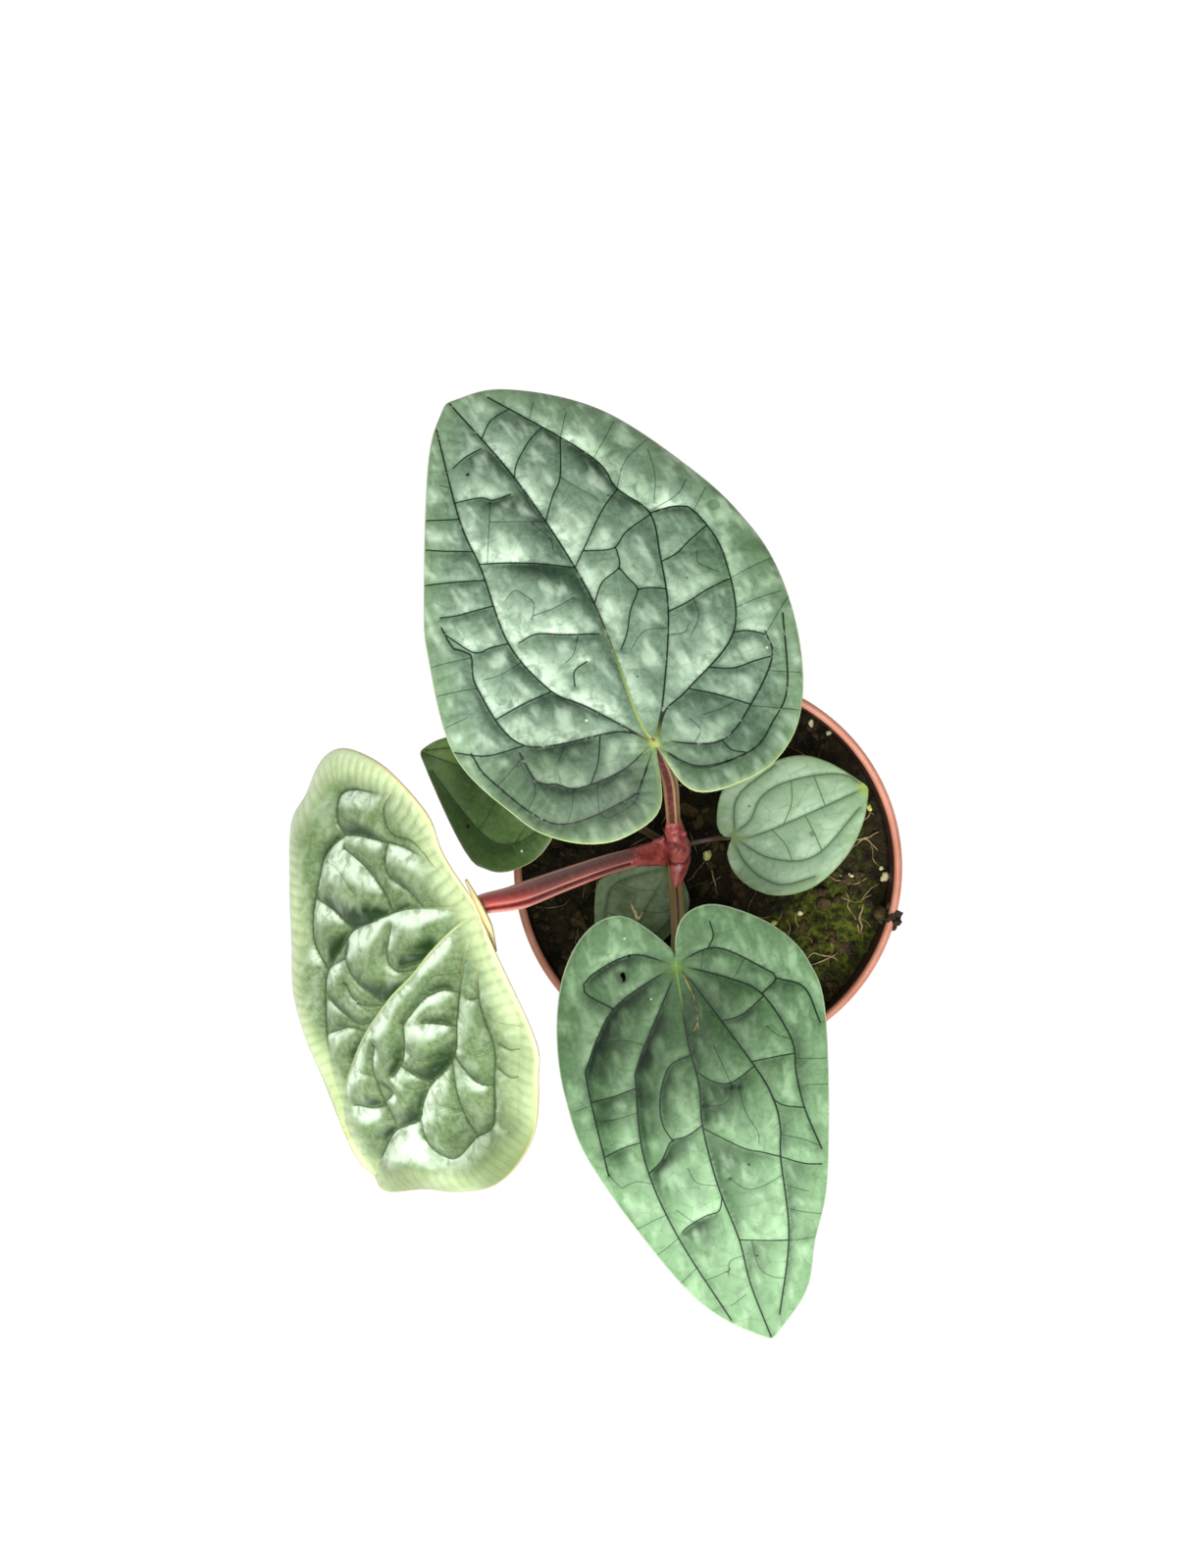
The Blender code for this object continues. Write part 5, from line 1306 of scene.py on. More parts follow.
def make_crown(material):
    """The stem and its red crown: a knot with two sheaths folded over one another."""
    meshes = {"crown_stem": mesh_from(
        turned([(radius, height) for height, radius in STEM_PROFILE], STEM_SEGMENTS,
               (STEM_X, STEM_Y)), "crown_stem")}
    for name, spec in CROWN_SHELLS.items():
        parts = [swept(name, route, half, (0.0, 0.0), (0.0, 0.0, 0.3), CROWN_SIDES)
                 for route, half in spec["tubes"]]
        for place, size in spec["lumps"]:
            bm = bmesh.new()
            matrix = Matrix.Translation(Vector(place)) @ Matrix.Diagonal((*size, 1.0))
            bmesh.ops.create_icosphere(bm, subdivisions=3, radius=1.0, matrix=matrix)
            parts.append(mesh_from(bm, name))
        meshes[name] = grown(name, parts)
    trees = {}
    for name, mesh in meshes.items():
        trees[name] = kdtree.KDTree(len(mesh.vertices))
        for vertex in mesh.vertices:
            trees[name].insert(vertex.co, vertex.index)
        trees[name].balance()
    for name, mesh in meshes.items():
        gaps = [min(trees[other].find(vertex.co)[2] for other in meshes if other != name)
                for vertex in mesh.vertices]
        layer = mesh.attributes.new("crease", "FLOAT", "POINT")
        layer.data.foreach_set("value", np.array(gaps, np.float32) / MM)
        replaced = ["stem"] if name == "crown_stem" else []
        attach(link(name, mesh, [material], "stem", *replaced), "root")


def crown_material():
    """Red swollen tissue above a brown stem, with painted shade in its folds."""
    made = Shader("crown_red", 0.36, 0.5)
    height = made.add("ShaderNodeSeparateXYZ", {"Vector": made.place()}).outputs["Z"]
    rise = made.band(height, 0.098, 0.110)
    patches = made.band(made.noise(3.0, 4.0), 0.35, 0.68)
    red = made.mix(patches, srgb(116, 42, 40), srgb(162, 74, 66))
    bark = made.mix(patches, srgb(74, 48, 34), srgb(112, 78, 52))
    colour = made.mix(rise, bark, red)
    specks = made.band(made.noise(0.5, 3.0), 0.60, 0.75, 0.0, 0.5)
    colour = made.mix(specks, colour, srgb(196, 122, 108))
    # Painted shade where the crown's shells meet.
    crease_shade = made.band(made.attribute("crease"), 0.15, 0.75, 0.85, 0.0)
    made.set("Base Color", made.mix(crease_shade, colour, srgb(78, 18, 20)))
    made.set("Normal", made.bump(made.noise(0.9, 5.0), 0.45, 0.15))
    return made.material


# Small things on the leaves

THREADS = [                  # x, y routes of dry threads on the bottom leaf, and their half width
    ([(-11.3, -25.4), (-9.7, -28.9), (-8.1, -32.2), (-7.3, -36.0), (-7.0, -38.9)], 0.26),
    ([(-7.0, -38.9), (-7.4, -40.4), (-8.1, -41.8)], 0.20),
    ([(-7.0, -38.9), (-6.8, -40.6), (-6.3, -42.2)], 0.20),
]
SPIKES = [                   # foot and tip of pale spikes at the bottom leaf's rear edge
    ((-23.2, -11.6, 142.4), (-25.4, -6.4, 145.6)),
    ((-23.4, -11.4, 142.4), (-22.2, -8.8, 145.4)),
    ((-23.8, -11.3, 142.4), (-23.9, -8.4, 144.0)),
]
BRIDGE = [                   # the left leaf's cream edge over the end of its stalk
    (-68.6, 1.2, 163.2), (-66.6, -2.6, 163.9), (-64.6, -6.6, 163.6), (-62.6, -11.6, 161.4),
    (-61.2, -18.0, 158.0),
]


def height_over(blade, x, y):
    """The height of a blade's upper side at a place of the plan, in millimetres."""
    places = np.empty(3 * len(blade.data.vertices))
    blade.data.vertices.foreach_get("co", places)
    places = places.reshape(-1, 3) / MM
    away = np.hypot(places[:, 0] - x, places[:, 1] - y)
    return float(places[away < max(1.0, away.min() + 0.1), 2].max())


def make_threads(blade, material):
    """The dry thread with a forked end on the bottom leaf, and the spikes at its rear edge."""
    bm = bmesh.new()
    for route, radius in THREADS:
        path = [Vector((x, y, height_over(blade, x, y) + radius))
                for x, y in through(route, 1.0)]
        add_tube(bm, path, radius, 8)
    for foot, tip in SPIKES:
        foot, tip = Vector(foot), Vector(tip)
        path = [foot.lerp(tip, t) for t in (0.0, 0.3, 0.6, 0.85, 1.0)]
        add_tube(bm, path, 0.38, 8)
    finish_scatter(bm, "dry_threads", material, "petiole_olive")


def thread_material():
    """Dry yellow-tan fibre."""
    made = Shader("dry_thread", 0.6, 0.3)
    tone = made.band(made.noise(3.0, 3.0), 0.35, 0.65)
    made.set("Base Color", made.mix(tone, srgb(60, 50, 30), srgb(122, 112, 70)))
    return made.material


def make_bridge(material):
    """The left leaf's rolled cream edge, which crosses its stalk's end."""
    mesh = swept("left_edge_roll", BRIDGE, [(0.0, 0.35), (0.3, 0.9), (0.6, 1.0), (1.0, 0.35)],
                 (0.0, 0.0), (0.2, 0.1, 0.3), sides=16)
    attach(link("left_edge_roll", mesh, [material], "blade_yellow"), "root")


def bridge_material():
    """Cream leaf edge, tan in its hollow."""
    made = Shader("leaf_roll", 0.45, 0.4)
    bands = [(0.0, (150, 128, 80)), (0.25, (206, 196, 138)), (0.6, (190, 178, 118)),
             (1.0, (168, 140, 92))]
    made.set("Base Color", made.ramp(made.attribute("across"),
                                     [(place, srgb(*colour)) for place, colour in bands]))
    return made.material


# Pot

def wall_radius(height):
    """The pot body's outer radius below the collar."""
    return BASE_RADIUS + (SHOULDER_RADIUS - BASE_RADIUS) * height / COLLAR_BOTTOM


def rounded(profile):
    """A profile with each corner between its ends cut by a short curve."""
    made = [profile[0]]
    for before, corner, after in zip(profile, profile[1:], profile[2:]):
        before, corner, after = (np.array(point, float) for point in (before, corner, after))
        back, on = before - corner, after - corner
        cut = min(EDGE_ROUNDING, 0.4 * np.hypot(*back), 0.4 * np.hypot(*on))
        start = corner + back / np.hypot(*back) * cut
        end = corner + on / np.hypot(*on) * cut
        for t in np.linspace(0.0, 1.0, ROUNDING_STEPS):
            made.append(tuple((1 - t) ** 2 * start + 2 * t * (1 - t) * corner + t * t * end))
    made.append(profile[-1])
    return made


def make_pot(material):
    """The nursery pot with its rolled rim, stepped collar and drained floor."""
    inner_floor = FLOOR_LIFT + POT_WALL
    foot_inner = BASE_RADIUS - FOOT_WIDTH
    rim_centre = (RIM_RADIUS - RIM_ROLL, POT_HEIGHT - RIM_ROLL)
    lip = [(rim_centre[0] + RIM_ROLL * math.cos(turn), rim_centre[1] + RIM_ROLL * math.sin(turn))
           for turn in (math.radians(angle) for angle in LIP_ANGLES)]
    body = [
        (0.0, 0.0),
        (CENTRE_DISC_RADIUS, 0.0),
        (CENTRE_DISC_RADIUS + FOOT_SLOPE, FLOOR_LIFT),
        (foot_inner - FOOT_SLOPE, FLOOR_LIFT),
        (foot_inner, 0.0),
        (BASE_RADIUS - BASE_BEVEL, 0.0),
        (wall_radius(BASE_RISE), BASE_RISE),
        (wall_radius(COLLAR_BOTTOM - STEP_BELOW), COLLAR_BOTTOM - STEP_BELOW),
        (COLLAR_RADIUS, COLLAR_BOTTOM),
        (COLLAR_RADIUS, rim_centre[1] - RIM_ROLL),
    ]
    inner = [
        (COLLAR_RADIUS - POT_WALL, COLLAR_BOTTOM + STEP_ABOVE),
        (wall_radius(COLLAR_BOTTOM) - POT_WALL, COLLAR_BOTTOM - STEP_BELOW),
        (wall_radius(inner_floor) - POT_WALL, inner_floor),
        (CENTRE_DISC_RADIUS + FOOT_SLOPE - DISC_INSET, inner_floor),
        (CENTRE_DISC_RADIUS - DISC_INSET, POT_WALL),
        (0.0, POT_WALL),
    ]
    profile = rounded(body) + lip + rounded(inner)
    pot = link("pot_shell", mesh_from(turned(profile, POT_SEGMENTS), "pot_shell"), [material],
               "pot", "pot")
    drills = []
    for number in range(DRAIN_COUNT):
        turn = math.tau * (number + 0.5) / DRAIN_COUNT
        low, high = -CUT_OVERSHOOT, inner_floor + CUT_OVERSHOOT
        hole = turned([(0.0, low), (DRAIN_RADIUS, low), (DRAIN_RADIUS, high), (0.0, high)],
                      DRAIN_SEGMENTS,
                      (DRAIN_CIRCLE * math.cos(turn), DRAIN_CIRCLE * math.sin(turn)))
        drill = bpy.data.objects.new(f"drill_{number}", mesh_from(hole, "drill"))
        bpy.context.scene.collection.objects.link(drill)
        cut = pot.modifiers.new(drill.name, "BOOLEAN")
        cut.object = drill
        drills.append(drill)
    pot.data = evaluated(pot)
    pot.data.materials.clear()
    pot.data.materials.append(material)
    pot.data.shade_smooth()
    pot.data.set_sharp_from_angle(angle=math.radians(POT_SMOOTH_ANGLE))
    for drill in drills:
        bpy.data.objects.remove(drill, do_unlink=True)
    mark_inside(pot.data)
    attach(pot, "root")


def mark_inside(mesh):
    """Marks the inner side of the pot's wall and floor."""
    marks = []
    for vertex in mesh.vertices:
        radius, height = math.hypot(vertex.co.x, vertex.co.y) / MM, vertex.co.z / MM
        in_collar = height >= COLLAR_BOTTOM - STEP_BELOW / 2
        outer = COLLAR_RADIUS if in_collar else wall_radius(height)
        floor = 0.0 if radius < CENTRE_DISC_RADIUS else FLOOR_LIFT
        marks.append(float(radius < outer - 0.6 * POT_WALL and height > floor + 0.5 * POT_WALL))
    mesh.attributes.new("inside", "FLOAT", "POINT").data.foreach_set("value", marks)


def pot_material():
    """Terracotta-coloured plastic, with painted shade darkening its inner side below the rim."""
    made = Shader("pot_plastic", 0.42, 0.45)
    place = made.add("ShaderNodeSeparateXYZ", {"Vector": made.place()})
    tone = made.band(made.noise(14.0, 4.0), 0.3, 0.7)
    colour = made.mix(tone, srgb(176, 112, 90), srgb(196, 134, 112))
    scuff = made.band(made.noise(1.6, 6.0, 0.65), 0.58, 0.72, 0.0, 0.35)
    colour = made.mix(scuff, colour, srgb(214, 164, 144))
    # Painted shade on the inner side of the wall and floor, below the rim.
    below_lip = made.band(place.outputs["Z"], (POT_HEIGHT - INNER_SHADE_FULL) * MM,
                          (POT_HEIGHT - INNER_SHADE_END) * MM, 1.0, 0.0)
    inner_shade = made.product(made.attribute("inside"), below_lip, 0.93)
    colour = made.mix(inner_shade, colour, srgb(34, 24, 18))
    made.set("Base Color", colour)
    made.set("Normal", made.bump(made.noise(0.9, 5.0), 0.25, 0.08))
    return made.material


# Soil and what lies on it

def lumps(x, y, size, layer):
    """Smooth noise over the plan, with lumps of a size in millimetres."""
    return noise.noise(Vector((x / size, y / size, layer)))


def soil_surface(x, y):
    """The soil's height: soft lumps, with a low mound round the stem."""
    coarse = lumps(x, y, COARSE_LUMP, COARSE_LAYER)
    fine = lumps(x, y, FINE_LUMP, FINE_LAYER)
    mound = MOUND_HEIGHT * math.exp(-math.hypot(x - STEM_X, y - STEM_Y) / MOUND_REACH)
    return SOIL_LEVEL + SOIL_RELIEF * (coarse + FINE_LUMP_SHARE * fine) + mound


def crumbs(x, y):
    """The soil's grain over its coarse surface: crumbs, finer grain and sharp hollows."""
    return CRUMB_RELIEF * (0.9 * lumps(x, y, 2.3, 1.3) + 0.4 * lumps(x, y, 0.95, 5.9)
                           - 0.9 * abs(lumps(x, y, 3.9, 7.7)))


def ground(x, y):
    """The height of the finished soil."""
    return soil_surface(x, y) + crumbs(x, y)


MOSS_PATCHES = [             # x, y, reach across and along, share of green
    (38.0, -20.0, 18.0, 20.0, 1.05),
    (29.0, -19.5, 5.0, 5.0, 1.0),
    (47.0, 2.0, 8.0, 14.0, 0.5),
    (28.0, 44.0, 7.0, 5.0, 0.3),
]


def moss_share(x, y):
    """How mossy the soil is at a place, 0 to 1."""
    share = max(green * math.exp(-((x - cx) / across) ** 2 - ((y - cy) / ahead) ** 2)
                for cx, cy, across, ahead, green in MOSS_PATCHES)
    return share * (0.65 + 0.7 * lumps(x, y, 3.5, 2.2))


def make_soil(material):
    """The soil: a crumbly surface over the plain body that fills the pot."""
    floor = FLOOR_LIFT + POT_WALL + FIT_GAP
    top_radius = COLLAR_RADIUS - POT_WALL - FIT_GAP
    neck = wall_radius(COLLAR_BOTTOM) - POT_WALL - FIT_GAP
    foot = wall_radius(floor) - POT_WALL - FIT_GAP
    count = max(48, round(math.tau * top_radius / SOIL_GRID))
    turns = np.arange(count) * math.tau / count
    circle = np.column_stack([np.cos(turns), np.sin(turns)])
    points, faces = triangulated(circle * top_radius, [], SOIL_GRID)
    vertices = [(x, y, ground(x, y)) for x, y in points]
    shares = [moss_share(x, y) for x, y in points]
    order = [int(np.hypot(points[:, 0] - x, points[:, 1] - y).argmin())
             for x, y in circle * top_radius]
    rings = [order]
    for radius, height in ((top_radius, COLLAR_BOTTOM + STEP_ABOVE + SOIL_STEP_LIFT),
                           (neck, COLLAR_BOTTOM - STEP_BELOW + SOIL_STEP_LIFT), (foot, floor)):
        first = len(vertices)
        vertices.extend((x, y, height) for x, y in circle * radius)
        shares.extend([0.0] * count)
        rings.append(list(range(first, first + count)))
    sides = [(upper[i], lower[i], lower[(i + 1) % count], upper[(i + 1) % count])
             for upper, lower in zip(rings, rings[1:]) for i in range(count)]
    mesh = bpy.data.meshes.new("soil_body")
    mesh.from_pydata([(x * MM, y * MM, z * MM) for x, y, z in vertices], [],
                     faces.tolist() + sides + [tuple(reversed(rings[-1]))])
    mesh.update()
    layer = mesh.attributes.new("moss", "FLOAT", "POINT")
    layer.data.foreach_set("value", np.array(shares, np.float32))
    soil = link("soil_body", mesh, [material], "soil", "soil")
    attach(soil, "root")


def soil_material():
    """Dark peat with paler crumbs and green moss."""
    made = Shader("soil_peat", 0.92, 0.2)
    tone = made.band(made.noise(4.5, 5.0, 0.6), 0.35, 0.68)
    colour = made.mix(tone, srgb(15, 12, 5), srgb(42, 35, 16))
    grain = made.band(made.noise(0.8, 4.0, 0.6), 0.55, 0.72, 0.0, 0.6)
    colour = made.mix(grain, colour, srgb(78, 68, 34))
    moss = made.band(made.attribute("moss"), 0.12, 0.6)
    green = made.mix(made.band(made.noise(1.6, 4.0), 0.35, 0.65), srgb(34, 38, 8),
                     srgb(80, 88, 20))
    colour = made.mix(moss, colour, green)
    made.set("Base Color", colour)
    made.set("Normal", made.bump(made.noise(0.6, 6.0, 0.65), 0.9, 0.5))
    return made.material


def add_lump(bm, draw, centre, size, turn, detail, jitter):
    """An irregular lump, sunk where it is put."""
    matrix = Matrix.Translation(centre) @ turn.to_4x4() @ Matrix.Diagonal((*size, 1.0))
    made = bmesh.ops.create_icosphere(bm, subdivisions=detail, radius=1.0)
    shift = Vector((draw.uniform(0, 90), draw.uniform(0, 90), draw.uniform(0, 90)))
    for vertex in made["verts"]:
        swell = 1.0 + jitter * 2.0 * noise.noise(vertex.co * 1.3 + shift)
        vertex.co = matrix @ (vertex.co * swell)


def random_turn(draw, tilt):
    """A turn about the vertical with a tilt of up to so many radians."""
    spin = Matrix.Rotation(draw.uniform(0, math.tau), 3, "Z")
    lean = Matrix.Rotation(draw.uniform(-tilt, tilt), 3, "X")
    return spin @ lean @ Matrix.Rotation(draw.uniform(-tilt, tilt), 3, "Y")


def disc_place(draw, reach):
    """A place on the soil, evenly spread."""
    radius = reach * math.sqrt(draw.random())
    turn = draw.uniform(0, math.tau)
    return radius * math.cos(turn), radius * math.sin(turn)


def finish_scatter(bm, name, material, slot):
    """Adds a scatter of small shapes as one piece."""
    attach(link(name, mesh_from(bm, name), [material], slot), "root")


BARK_SEED, BARK_COUNT, BARK_REACH = 11, 420, 55.5
BARK_LENGTHS = (1.0, 1.3, 1.7, 2.4, 3.6)
STEM_CLEARANCE = 6.0
RIM_CLUMP = [                # x, y, z and size of the soil stuck to the rim
    (57.3, -15.4, 94.0, 1.9), (56.6, -17.8, 93.2, 1.6), (56.8, -12.4, 93.2, 1.4),
    (58.0, -16.6, 95.0, 1.1), (54.6, -15.0, 91.0, 2.6), (58.2, -14.0, 94.8, 0.9),
]


def make_bark(material):
    """Bark chips and peat lumps in the soil's surface."""
    draw = random.Random(BARK_SEED)
    bm = bmesh.new()
    for _ in range(BARK_COUNT):
        x, y = disc_place(draw, BARK_REACH)
        if math.hypot(x - STEM_X, y - STEM_Y) < STEM_CLEARANCE:
            continue
        long = draw.choice(BARK_LENGTHS) * draw.uniform(0.7, 1.2)
        size = Vector((long, long * draw.uniform(0.35, 0.75), draw.uniform(0.35, 0.9)))
        add_lump(bm, draw, Vector((x, y, ground(x, y) + 0.15)), size, random_turn(draw, 0.5),
                 2 if long > 1.6 else 1, 0.3)
    for x, y, z, size in RIM_CLUMP:
        add_lump(bm, draw, Vector((x, y, z)), Vector((size, size * 1.3, size * 0.8)),
                 random_turn(draw, 0.4), 2, 0.3)
    finish_scatter(bm, "bark_chips", material, "soil")


def bark_material():
    """Brown bark, some of it paler."""
    made = Shader("bark", 0.85, 0.25)
    patch = made.band(made.noise(7.0, 2.0), 0.4, 0.62)
    colour = made.mix(patch, srgb(24, 18, 9), srgb(62, 49, 24))
    streak = made.band(made.noise(0.7, 5.0, 0.6), 0.45, 0.7, 0.0, 0.6)
    made.set("Base Color", made.mix(streak, colour, srgb(90, 75, 42)))
    made.set("Normal", made.bump(made.noise(0.5, 5.0), 0.7, 0.25))
    return made.material


def add_tube(bm, path, radius, sides=5):
    """A thin closed tube with tapered ends along a path."""
    rings = []
    count = len(path)
    for i, point in enumerate(path):
        ahead = (path[min(i + 1, count - 1)] - path[max(i - 1, 0)]).normalized()
        side = ahead.cross(Vector((0.1, 0.2, 1.0))).normalized()
        up = side.cross(ahead)
        taper = 0.35 + 0.65 * math.sin(math.pi * min(1.0, (min(i, count - 1 - i) + 0.5) / 3) / 2)
        rings.append([bm.verts.new(point + (side * math.cos(turn) + up * math.sin(turn))
                                   * radius * taper)
                      for turn in (math.tau * k / sides for k in range(sides))])
    for lower, upper in zip(rings, rings[1:]):
        for i in range(sides):
            j = (i + 1) % sides
            bm.faces.new([lower[i], lower[j], upper[j], upper[i]])
    bm.faces.new(list(reversed(rings[0])))
    bm.faces.new(rings[-1])


FIBRE_SEED, FIBRE_COUNT, FIBRE_REACH = 23, 95, 53.0
FIBRE_LIMIT = 56.0           # no fibre reaches further from the pot's axis
FIBRES = [                   # root fibres on the soil where the plant shows them: x, y points
    [(35.5, -2.0), (41.0, -4.5), (47.5, -6.0)],
    [(41.5, -1.0), (46.0, -5.0), (50.5, -4.0)],
    [(46.0, 5.5), (51.0, 9.5), (56.0, 10.5)],
    [(44.0, 8.5), (50.0, 8.0), (54.5, 4.5)],
    [(31.5, -28.5), (37.0, -27.5), (41.0, -30.0)],
    [(33.0, -31.0), (38.0, -29.5), (42.5, -26.0)],
    [(-1.0, 2.5), (2.5, -3.0), (4.5, -10.0)],
    [(50.0, -12.0), (48.5, -18.0), (50.0, -24.0)],
    [(44.0, 18.0), (49.0, 15.0), (52.5, 17.0)],
]


def make_fibres(material):
    """Dry root fibres lying on the soil."""
    draw = random.Random(FIBRE_SEED)
    bm = bmesh.new()
    routes = [[*places] for places in FIBRES]
    for _ in range(FIBRE_COUNT):
        x, y = disc_place(draw, FIBRE_REACH)
        turn = draw.uniform(0, math.tau)
        reach = draw.uniform(2.5, 8.0)
        bend = draw.uniform(-0.9, 0.9)
        routes.append([(x, y), (x + reach * math.cos(turn), y + reach * math.sin(turn)),
                       (x + reach * (math.cos(turn) + math.cos(turn + bend)),
                        y + reach * (math.sin(turn) + math.sin(turn + bend)))])
    for number, places in enumerate(routes):
        wander = [(x + draw.uniform(-0.7, 0.7), y + draw.uniform(-0.7, 0.7))
                  for x, y in through(places, 2.4)]
        path = [(x, y) for x, y in through(wander, 0.9) if math.hypot(x, y) < FIBRE_LIMIT]
        if len(path) < 4:
            continue
        seen = number < len(FIBRES)
        lift = 0.35 if seen else 0.1
        radius = 0.26 if seen else draw.uniform(0.09, 0.2)
        add_tube(bm, [Vector((x, y, ground(x, y) + lift)) for x, y in path], radius)
    finish_scatter(bm, "root_fibres", material, "soil")


def fibre_material():
    """Dry tan fibre."""
    made = Shader("fibre", 0.7, 0.3)
    tone = made.band(made.noise(5.0, 3.0), 0.35, 0.65)
    made.set("Base Color", made.mix(tone, srgb(96, 76, 48), srgb(158, 138, 98)))
    made.set("Normal", made.bump(made.noise(0.4, 3.0), 0.5, 0.08))
    return made.material


PELLET_SEED = 31
PELLETS = [                  # x, y and size of the pale pellets
    (33.0, 44.8, 1.5), (38.6, 41.2, 1.1), (56.0, -3.5, 1.6), (55.2, -1.0, 1.0),
    (45.5, -3.0, 0.9), (0.2, 3.6, 2.2), (29.8, -15.2, 1.1), (51.5, 18.4, 1.4), (21.6, -17.6, 1.4),
]


def make_pellets(material):
    """Cream and yellow-green pellets of plant food."""
    draw = random.Random(PELLET_SEED)
    bm = bmesh.new()
    for x, y, size in PELLETS:
        for _ in range(2):
            shape = Vector((size, size * draw.uniform(0.6, 0.9), size * draw.uniform(0.5, 0.7)))
            place = Vector((x + draw.uniform(-0.5, 0.5), y + draw.uniform(-0.7, 0.7), 0.0))
            place.z = ground(place.x, place.y) + 0.55
            add_lump(bm, draw, place, shape * 0.8, random_turn(draw, 0.7), 2, 0.2)
    finish_scatter(bm, "pellets", material, "soil")


def pellet_material():
    """Chalky cream with a yellow-green cast."""
    made = Shader("pellet", 0.7, 0.3)
    tone = made.band(made.noise(16.0, 2.0), 0.42, 0.58)
    made.set("Base Color", made.mix(tone, srgb(206, 196, 152), srgb(188, 196, 96)))
    made.set("Normal", made.bump(made.noise(0.5, 4.0), 0.5, 0.12))
    return made.material


MOSS_SEED, MOSS_TRIES, MOSS_LIMIT, MOSS_REACH = 47, 9000, 3600, 55.0
MOSS_GLOW = (29.0, -19.5, 87.0)     # middle of the brightest tuft


def make_moss(material):
    """Moss: short pointed shoots, closest in the greenest patches."""
    draw = random.Random(MOSS_SEED)
    bm = bmesh.new()
    placed = 0
    for _ in range(MOSS_TRIES):
        x, y = disc_place(draw, MOSS_REACH)
        share = moss_share(x, y)
        if placed > MOSS_LIMIT or draw.random() > 1.35 * share - 0.12:
            continue
        placed += 1
        root = Vector((x, y, ground(x, y) - 0.15))
        lean = Vector((draw.uniform(-0.8, 0.8), draw.uniform(-0.8, 0.8), 1.0)).normalized()
        tip = root + lean * draw.uniform(0.5, 1.25)
        side = lean.cross(Vector((draw.random() + 0.1, draw.random(), 0.3))).normalized()
        other = lean.cross(side)
        wide = draw.uniform(0.10, 0.24)
        ring = [bm.verts.new(root + (side * math.cos(turn) + other * math.sin(turn)) * wide)
                for turn in (0.0, math.tau / 3, 2 * math.tau / 3)]
        peak = bm.verts.new(tip)
        for i in range(3):
            bm.faces.new([ring[i], ring[(i + 1) % 3], peak])
        bm.faces.new(list(reversed(ring)))
    finish_scatter(bm, "moss", material, "soil")


def moss_material():
    """Olive to bright green moss."""
    made = Shader("moss_green", 0.7, 0.3)
    tone = made.band(made.noise(6.0, 3.0), 0.38, 0.62)
    colour = made.mix(tone, srgb(60, 66, 16), srgb(104, 120, 26))
    bright = made.add("ShaderNodeVectorMath", {
        0: made.place(), 1: [value * MM for value in MOSS_GLOW]}, operation="DISTANCE")
    glow = made.band(bright.outputs["Value"], 1.0 * MM, 6.0 * MM, 0.8, 0.0)
    made.set("Base Color", made.mix(glow, colour, srgb(98, 152, 40)))
    return made.material


# Stage

FLOOR_HALF = 3.0
FLOOR_GLOW = 0.96            # the pale floor shines by itself, so that shadows on it stay faint
WORLD_STRENGTH = 0.10
LIGHT_AIM = (-0.02, 0.0, 0.12)
LIGHTS = [                   # name, place, size, watts
    ("key", (-0.15, -0.05, 1.15), 0.60, 8.0),
    ("south", (0.12, -0.85, 0.95), 0.60, 17.0),
    ("west", (-0.75, -0.35, 1.0), 0.45, 4.0),
]


def make_floor():
    """A pale floor that lights itself."""
    mesh = bpy.data.meshes.new("floor")
    corners = [(-1, -1), (1, -1), (1, 1), (-1, 1)]
    mesh.from_pydata([(x * FLOOR_HALF, y * FLOOR_HALF, 0) for x, y in corners], [],
                     [(0, 1, 2, 3)])
    floor = bpy.data.objects.new("floor", mesh)
    bpy.context.scene.collection.objects.link(floor)
    made = Shader("floor_white", 0.9, 0.1)
    made.set("Base Color", (0.05, 0.05, 0.05, 1.0))
    made.set("Emission Color", (1.0, 1.0, 1.0, 1.0))
    made.set("Emission Strength", FLOOR_GLOW)
    mesh.materials.append(made.material)


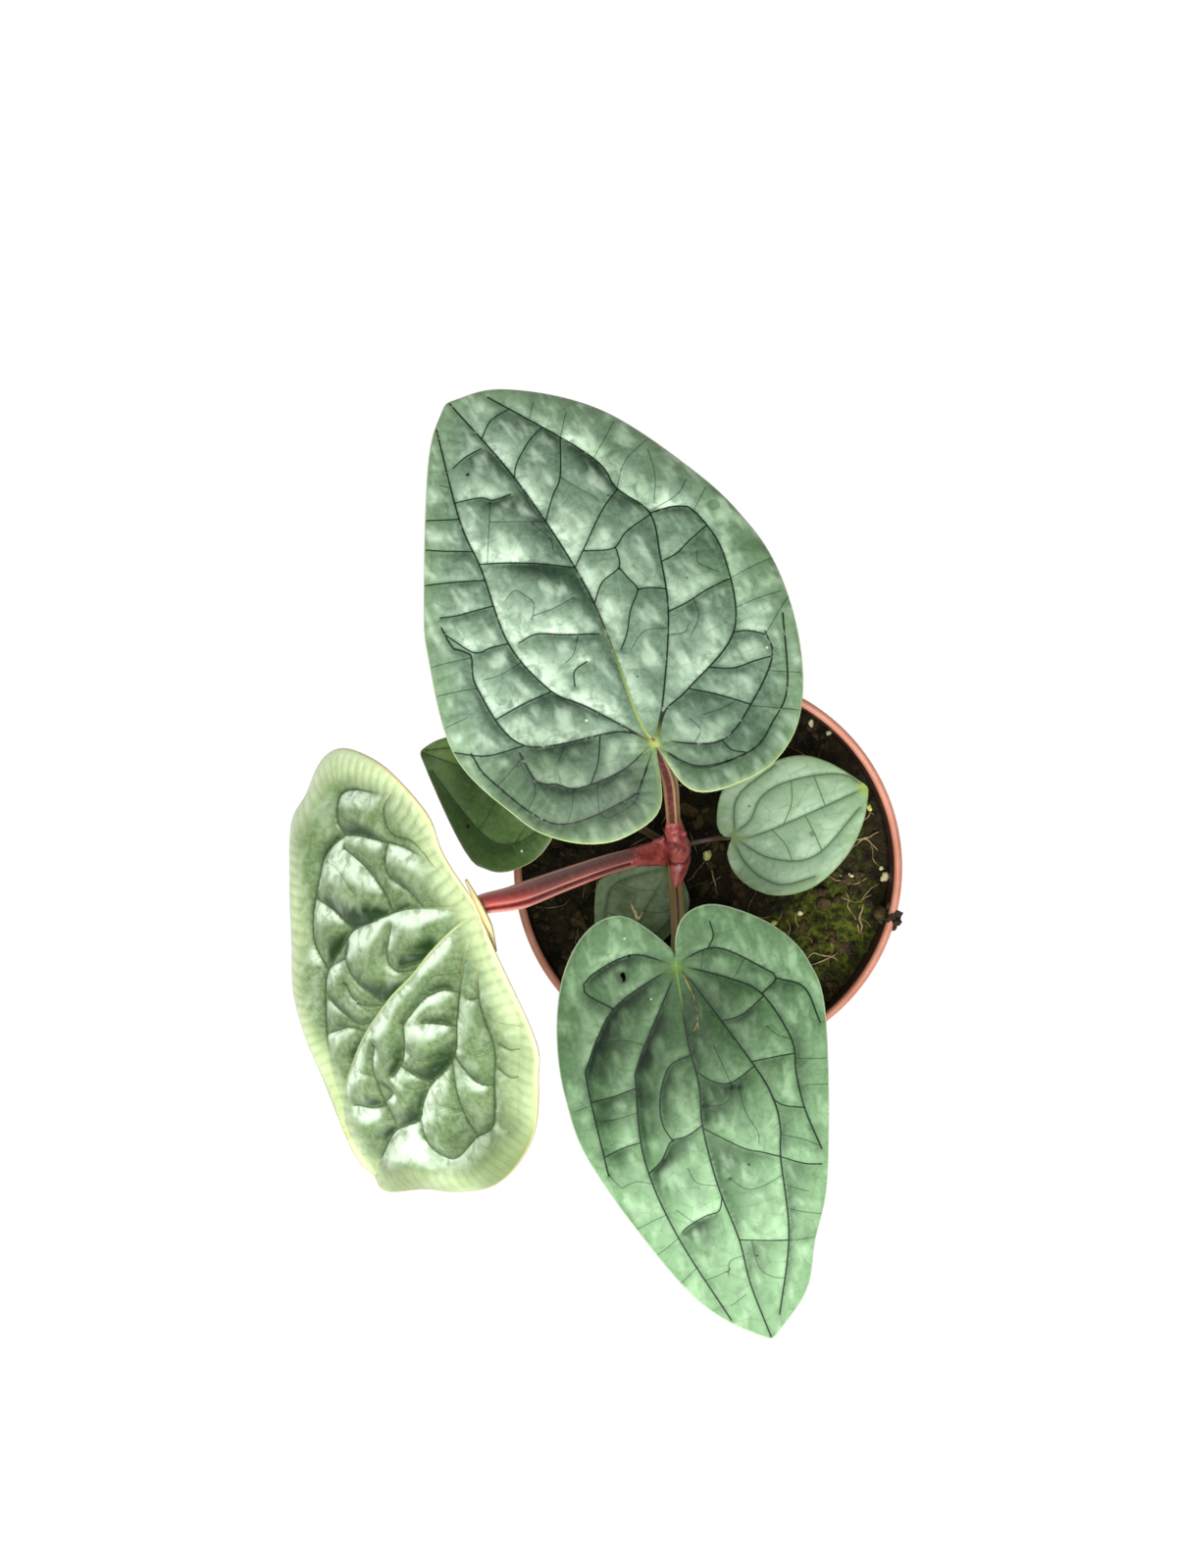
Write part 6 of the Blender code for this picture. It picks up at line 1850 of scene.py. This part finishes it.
def make_lights():
    """Soft area lights over the plant, and even, dim surroundings."""
    for name, place, size, watts in LIGHTS:
        light = bpy.data.lights.new(name, "AREA")
        light.size = size
        light.energy = watts
        item = bpy.data.objects.new(name, light)
        item.location = place
        aim = Vector(LIGHT_AIM) - Vector(place)
        item.rotation_euler = aim.to_track_quat("-Z", "Y").to_euler()
        bpy.context.scene.collection.objects.link(item)
    world = bpy.data.worlds.new("studio")
    world.use_nodes = True
    background = world.node_tree.nodes["Background"]
    background.inputs["Color"].default_value = (1.0, 1.0, 1.0, 1.0)
    background.inputs["Strength"].default_value = WORLD_STRENGTH
    bpy.context.scene.world = world


def make_camera():
    """The camera, which looks straight down on the pot."""
    lens = bpy.data.cameras.new("camera")
    lens.lens = CAMERA_LENS
    lens.sensor_width = CAMERA_SENSOR
    camera = bpy.data.objects.new("camera", lens)
    camera.location = CAMERA_PLACE
    bpy.context.scene.collection.objects.link(camera)
    bpy.context.scene.camera = camera
    bpy.context.scene.view_settings.view_transform = "Standard"


def main():
    make_floor()
    make_lights()
    make_camera()
    blades = {}
    for leaf_name in LEAVES:
        upper = blade_material(f"leaf_{leaf_name}_upper", LOOKS[leaf_name])
        lower = underside_material(f"leaf_{leaf_name}_lower", *UNDERSIDES[leaf_name])
        blades[leaf_name] = make_blade(leaf_name, [upper, lower], BLADE_SLOTS[leaf_name])
    skins = {name: petiole_material(f"stalk_{name}", *bands)
             for name, bands in STALK_COLOURS.items()}
    for leaf_name, skin, slot in (
            ("top", "maroon", "petiole_red"), ("left", "red", "petiole_red"),
            ("bottom", "olive", "petiole_olive"), ("right", "brown", "petiole_olive"),
            ("centre", "brown", "petiole_olive"), ("dark", "brown", "petiole_olive")):
        make_petiole(leaf_name, skins[skin], slot)
    make_bridge(bridge_material())
    make_threads(blades["bottom"], thread_material())
    make_crown(crown_material())
    make_pot(pot_material())
    make_soil(soil_material())
    make_bark(bark_material())
    make_fibres(fibre_material())
    make_pellets(pellet_material())
    make_moss(moss_material())
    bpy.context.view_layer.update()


main()
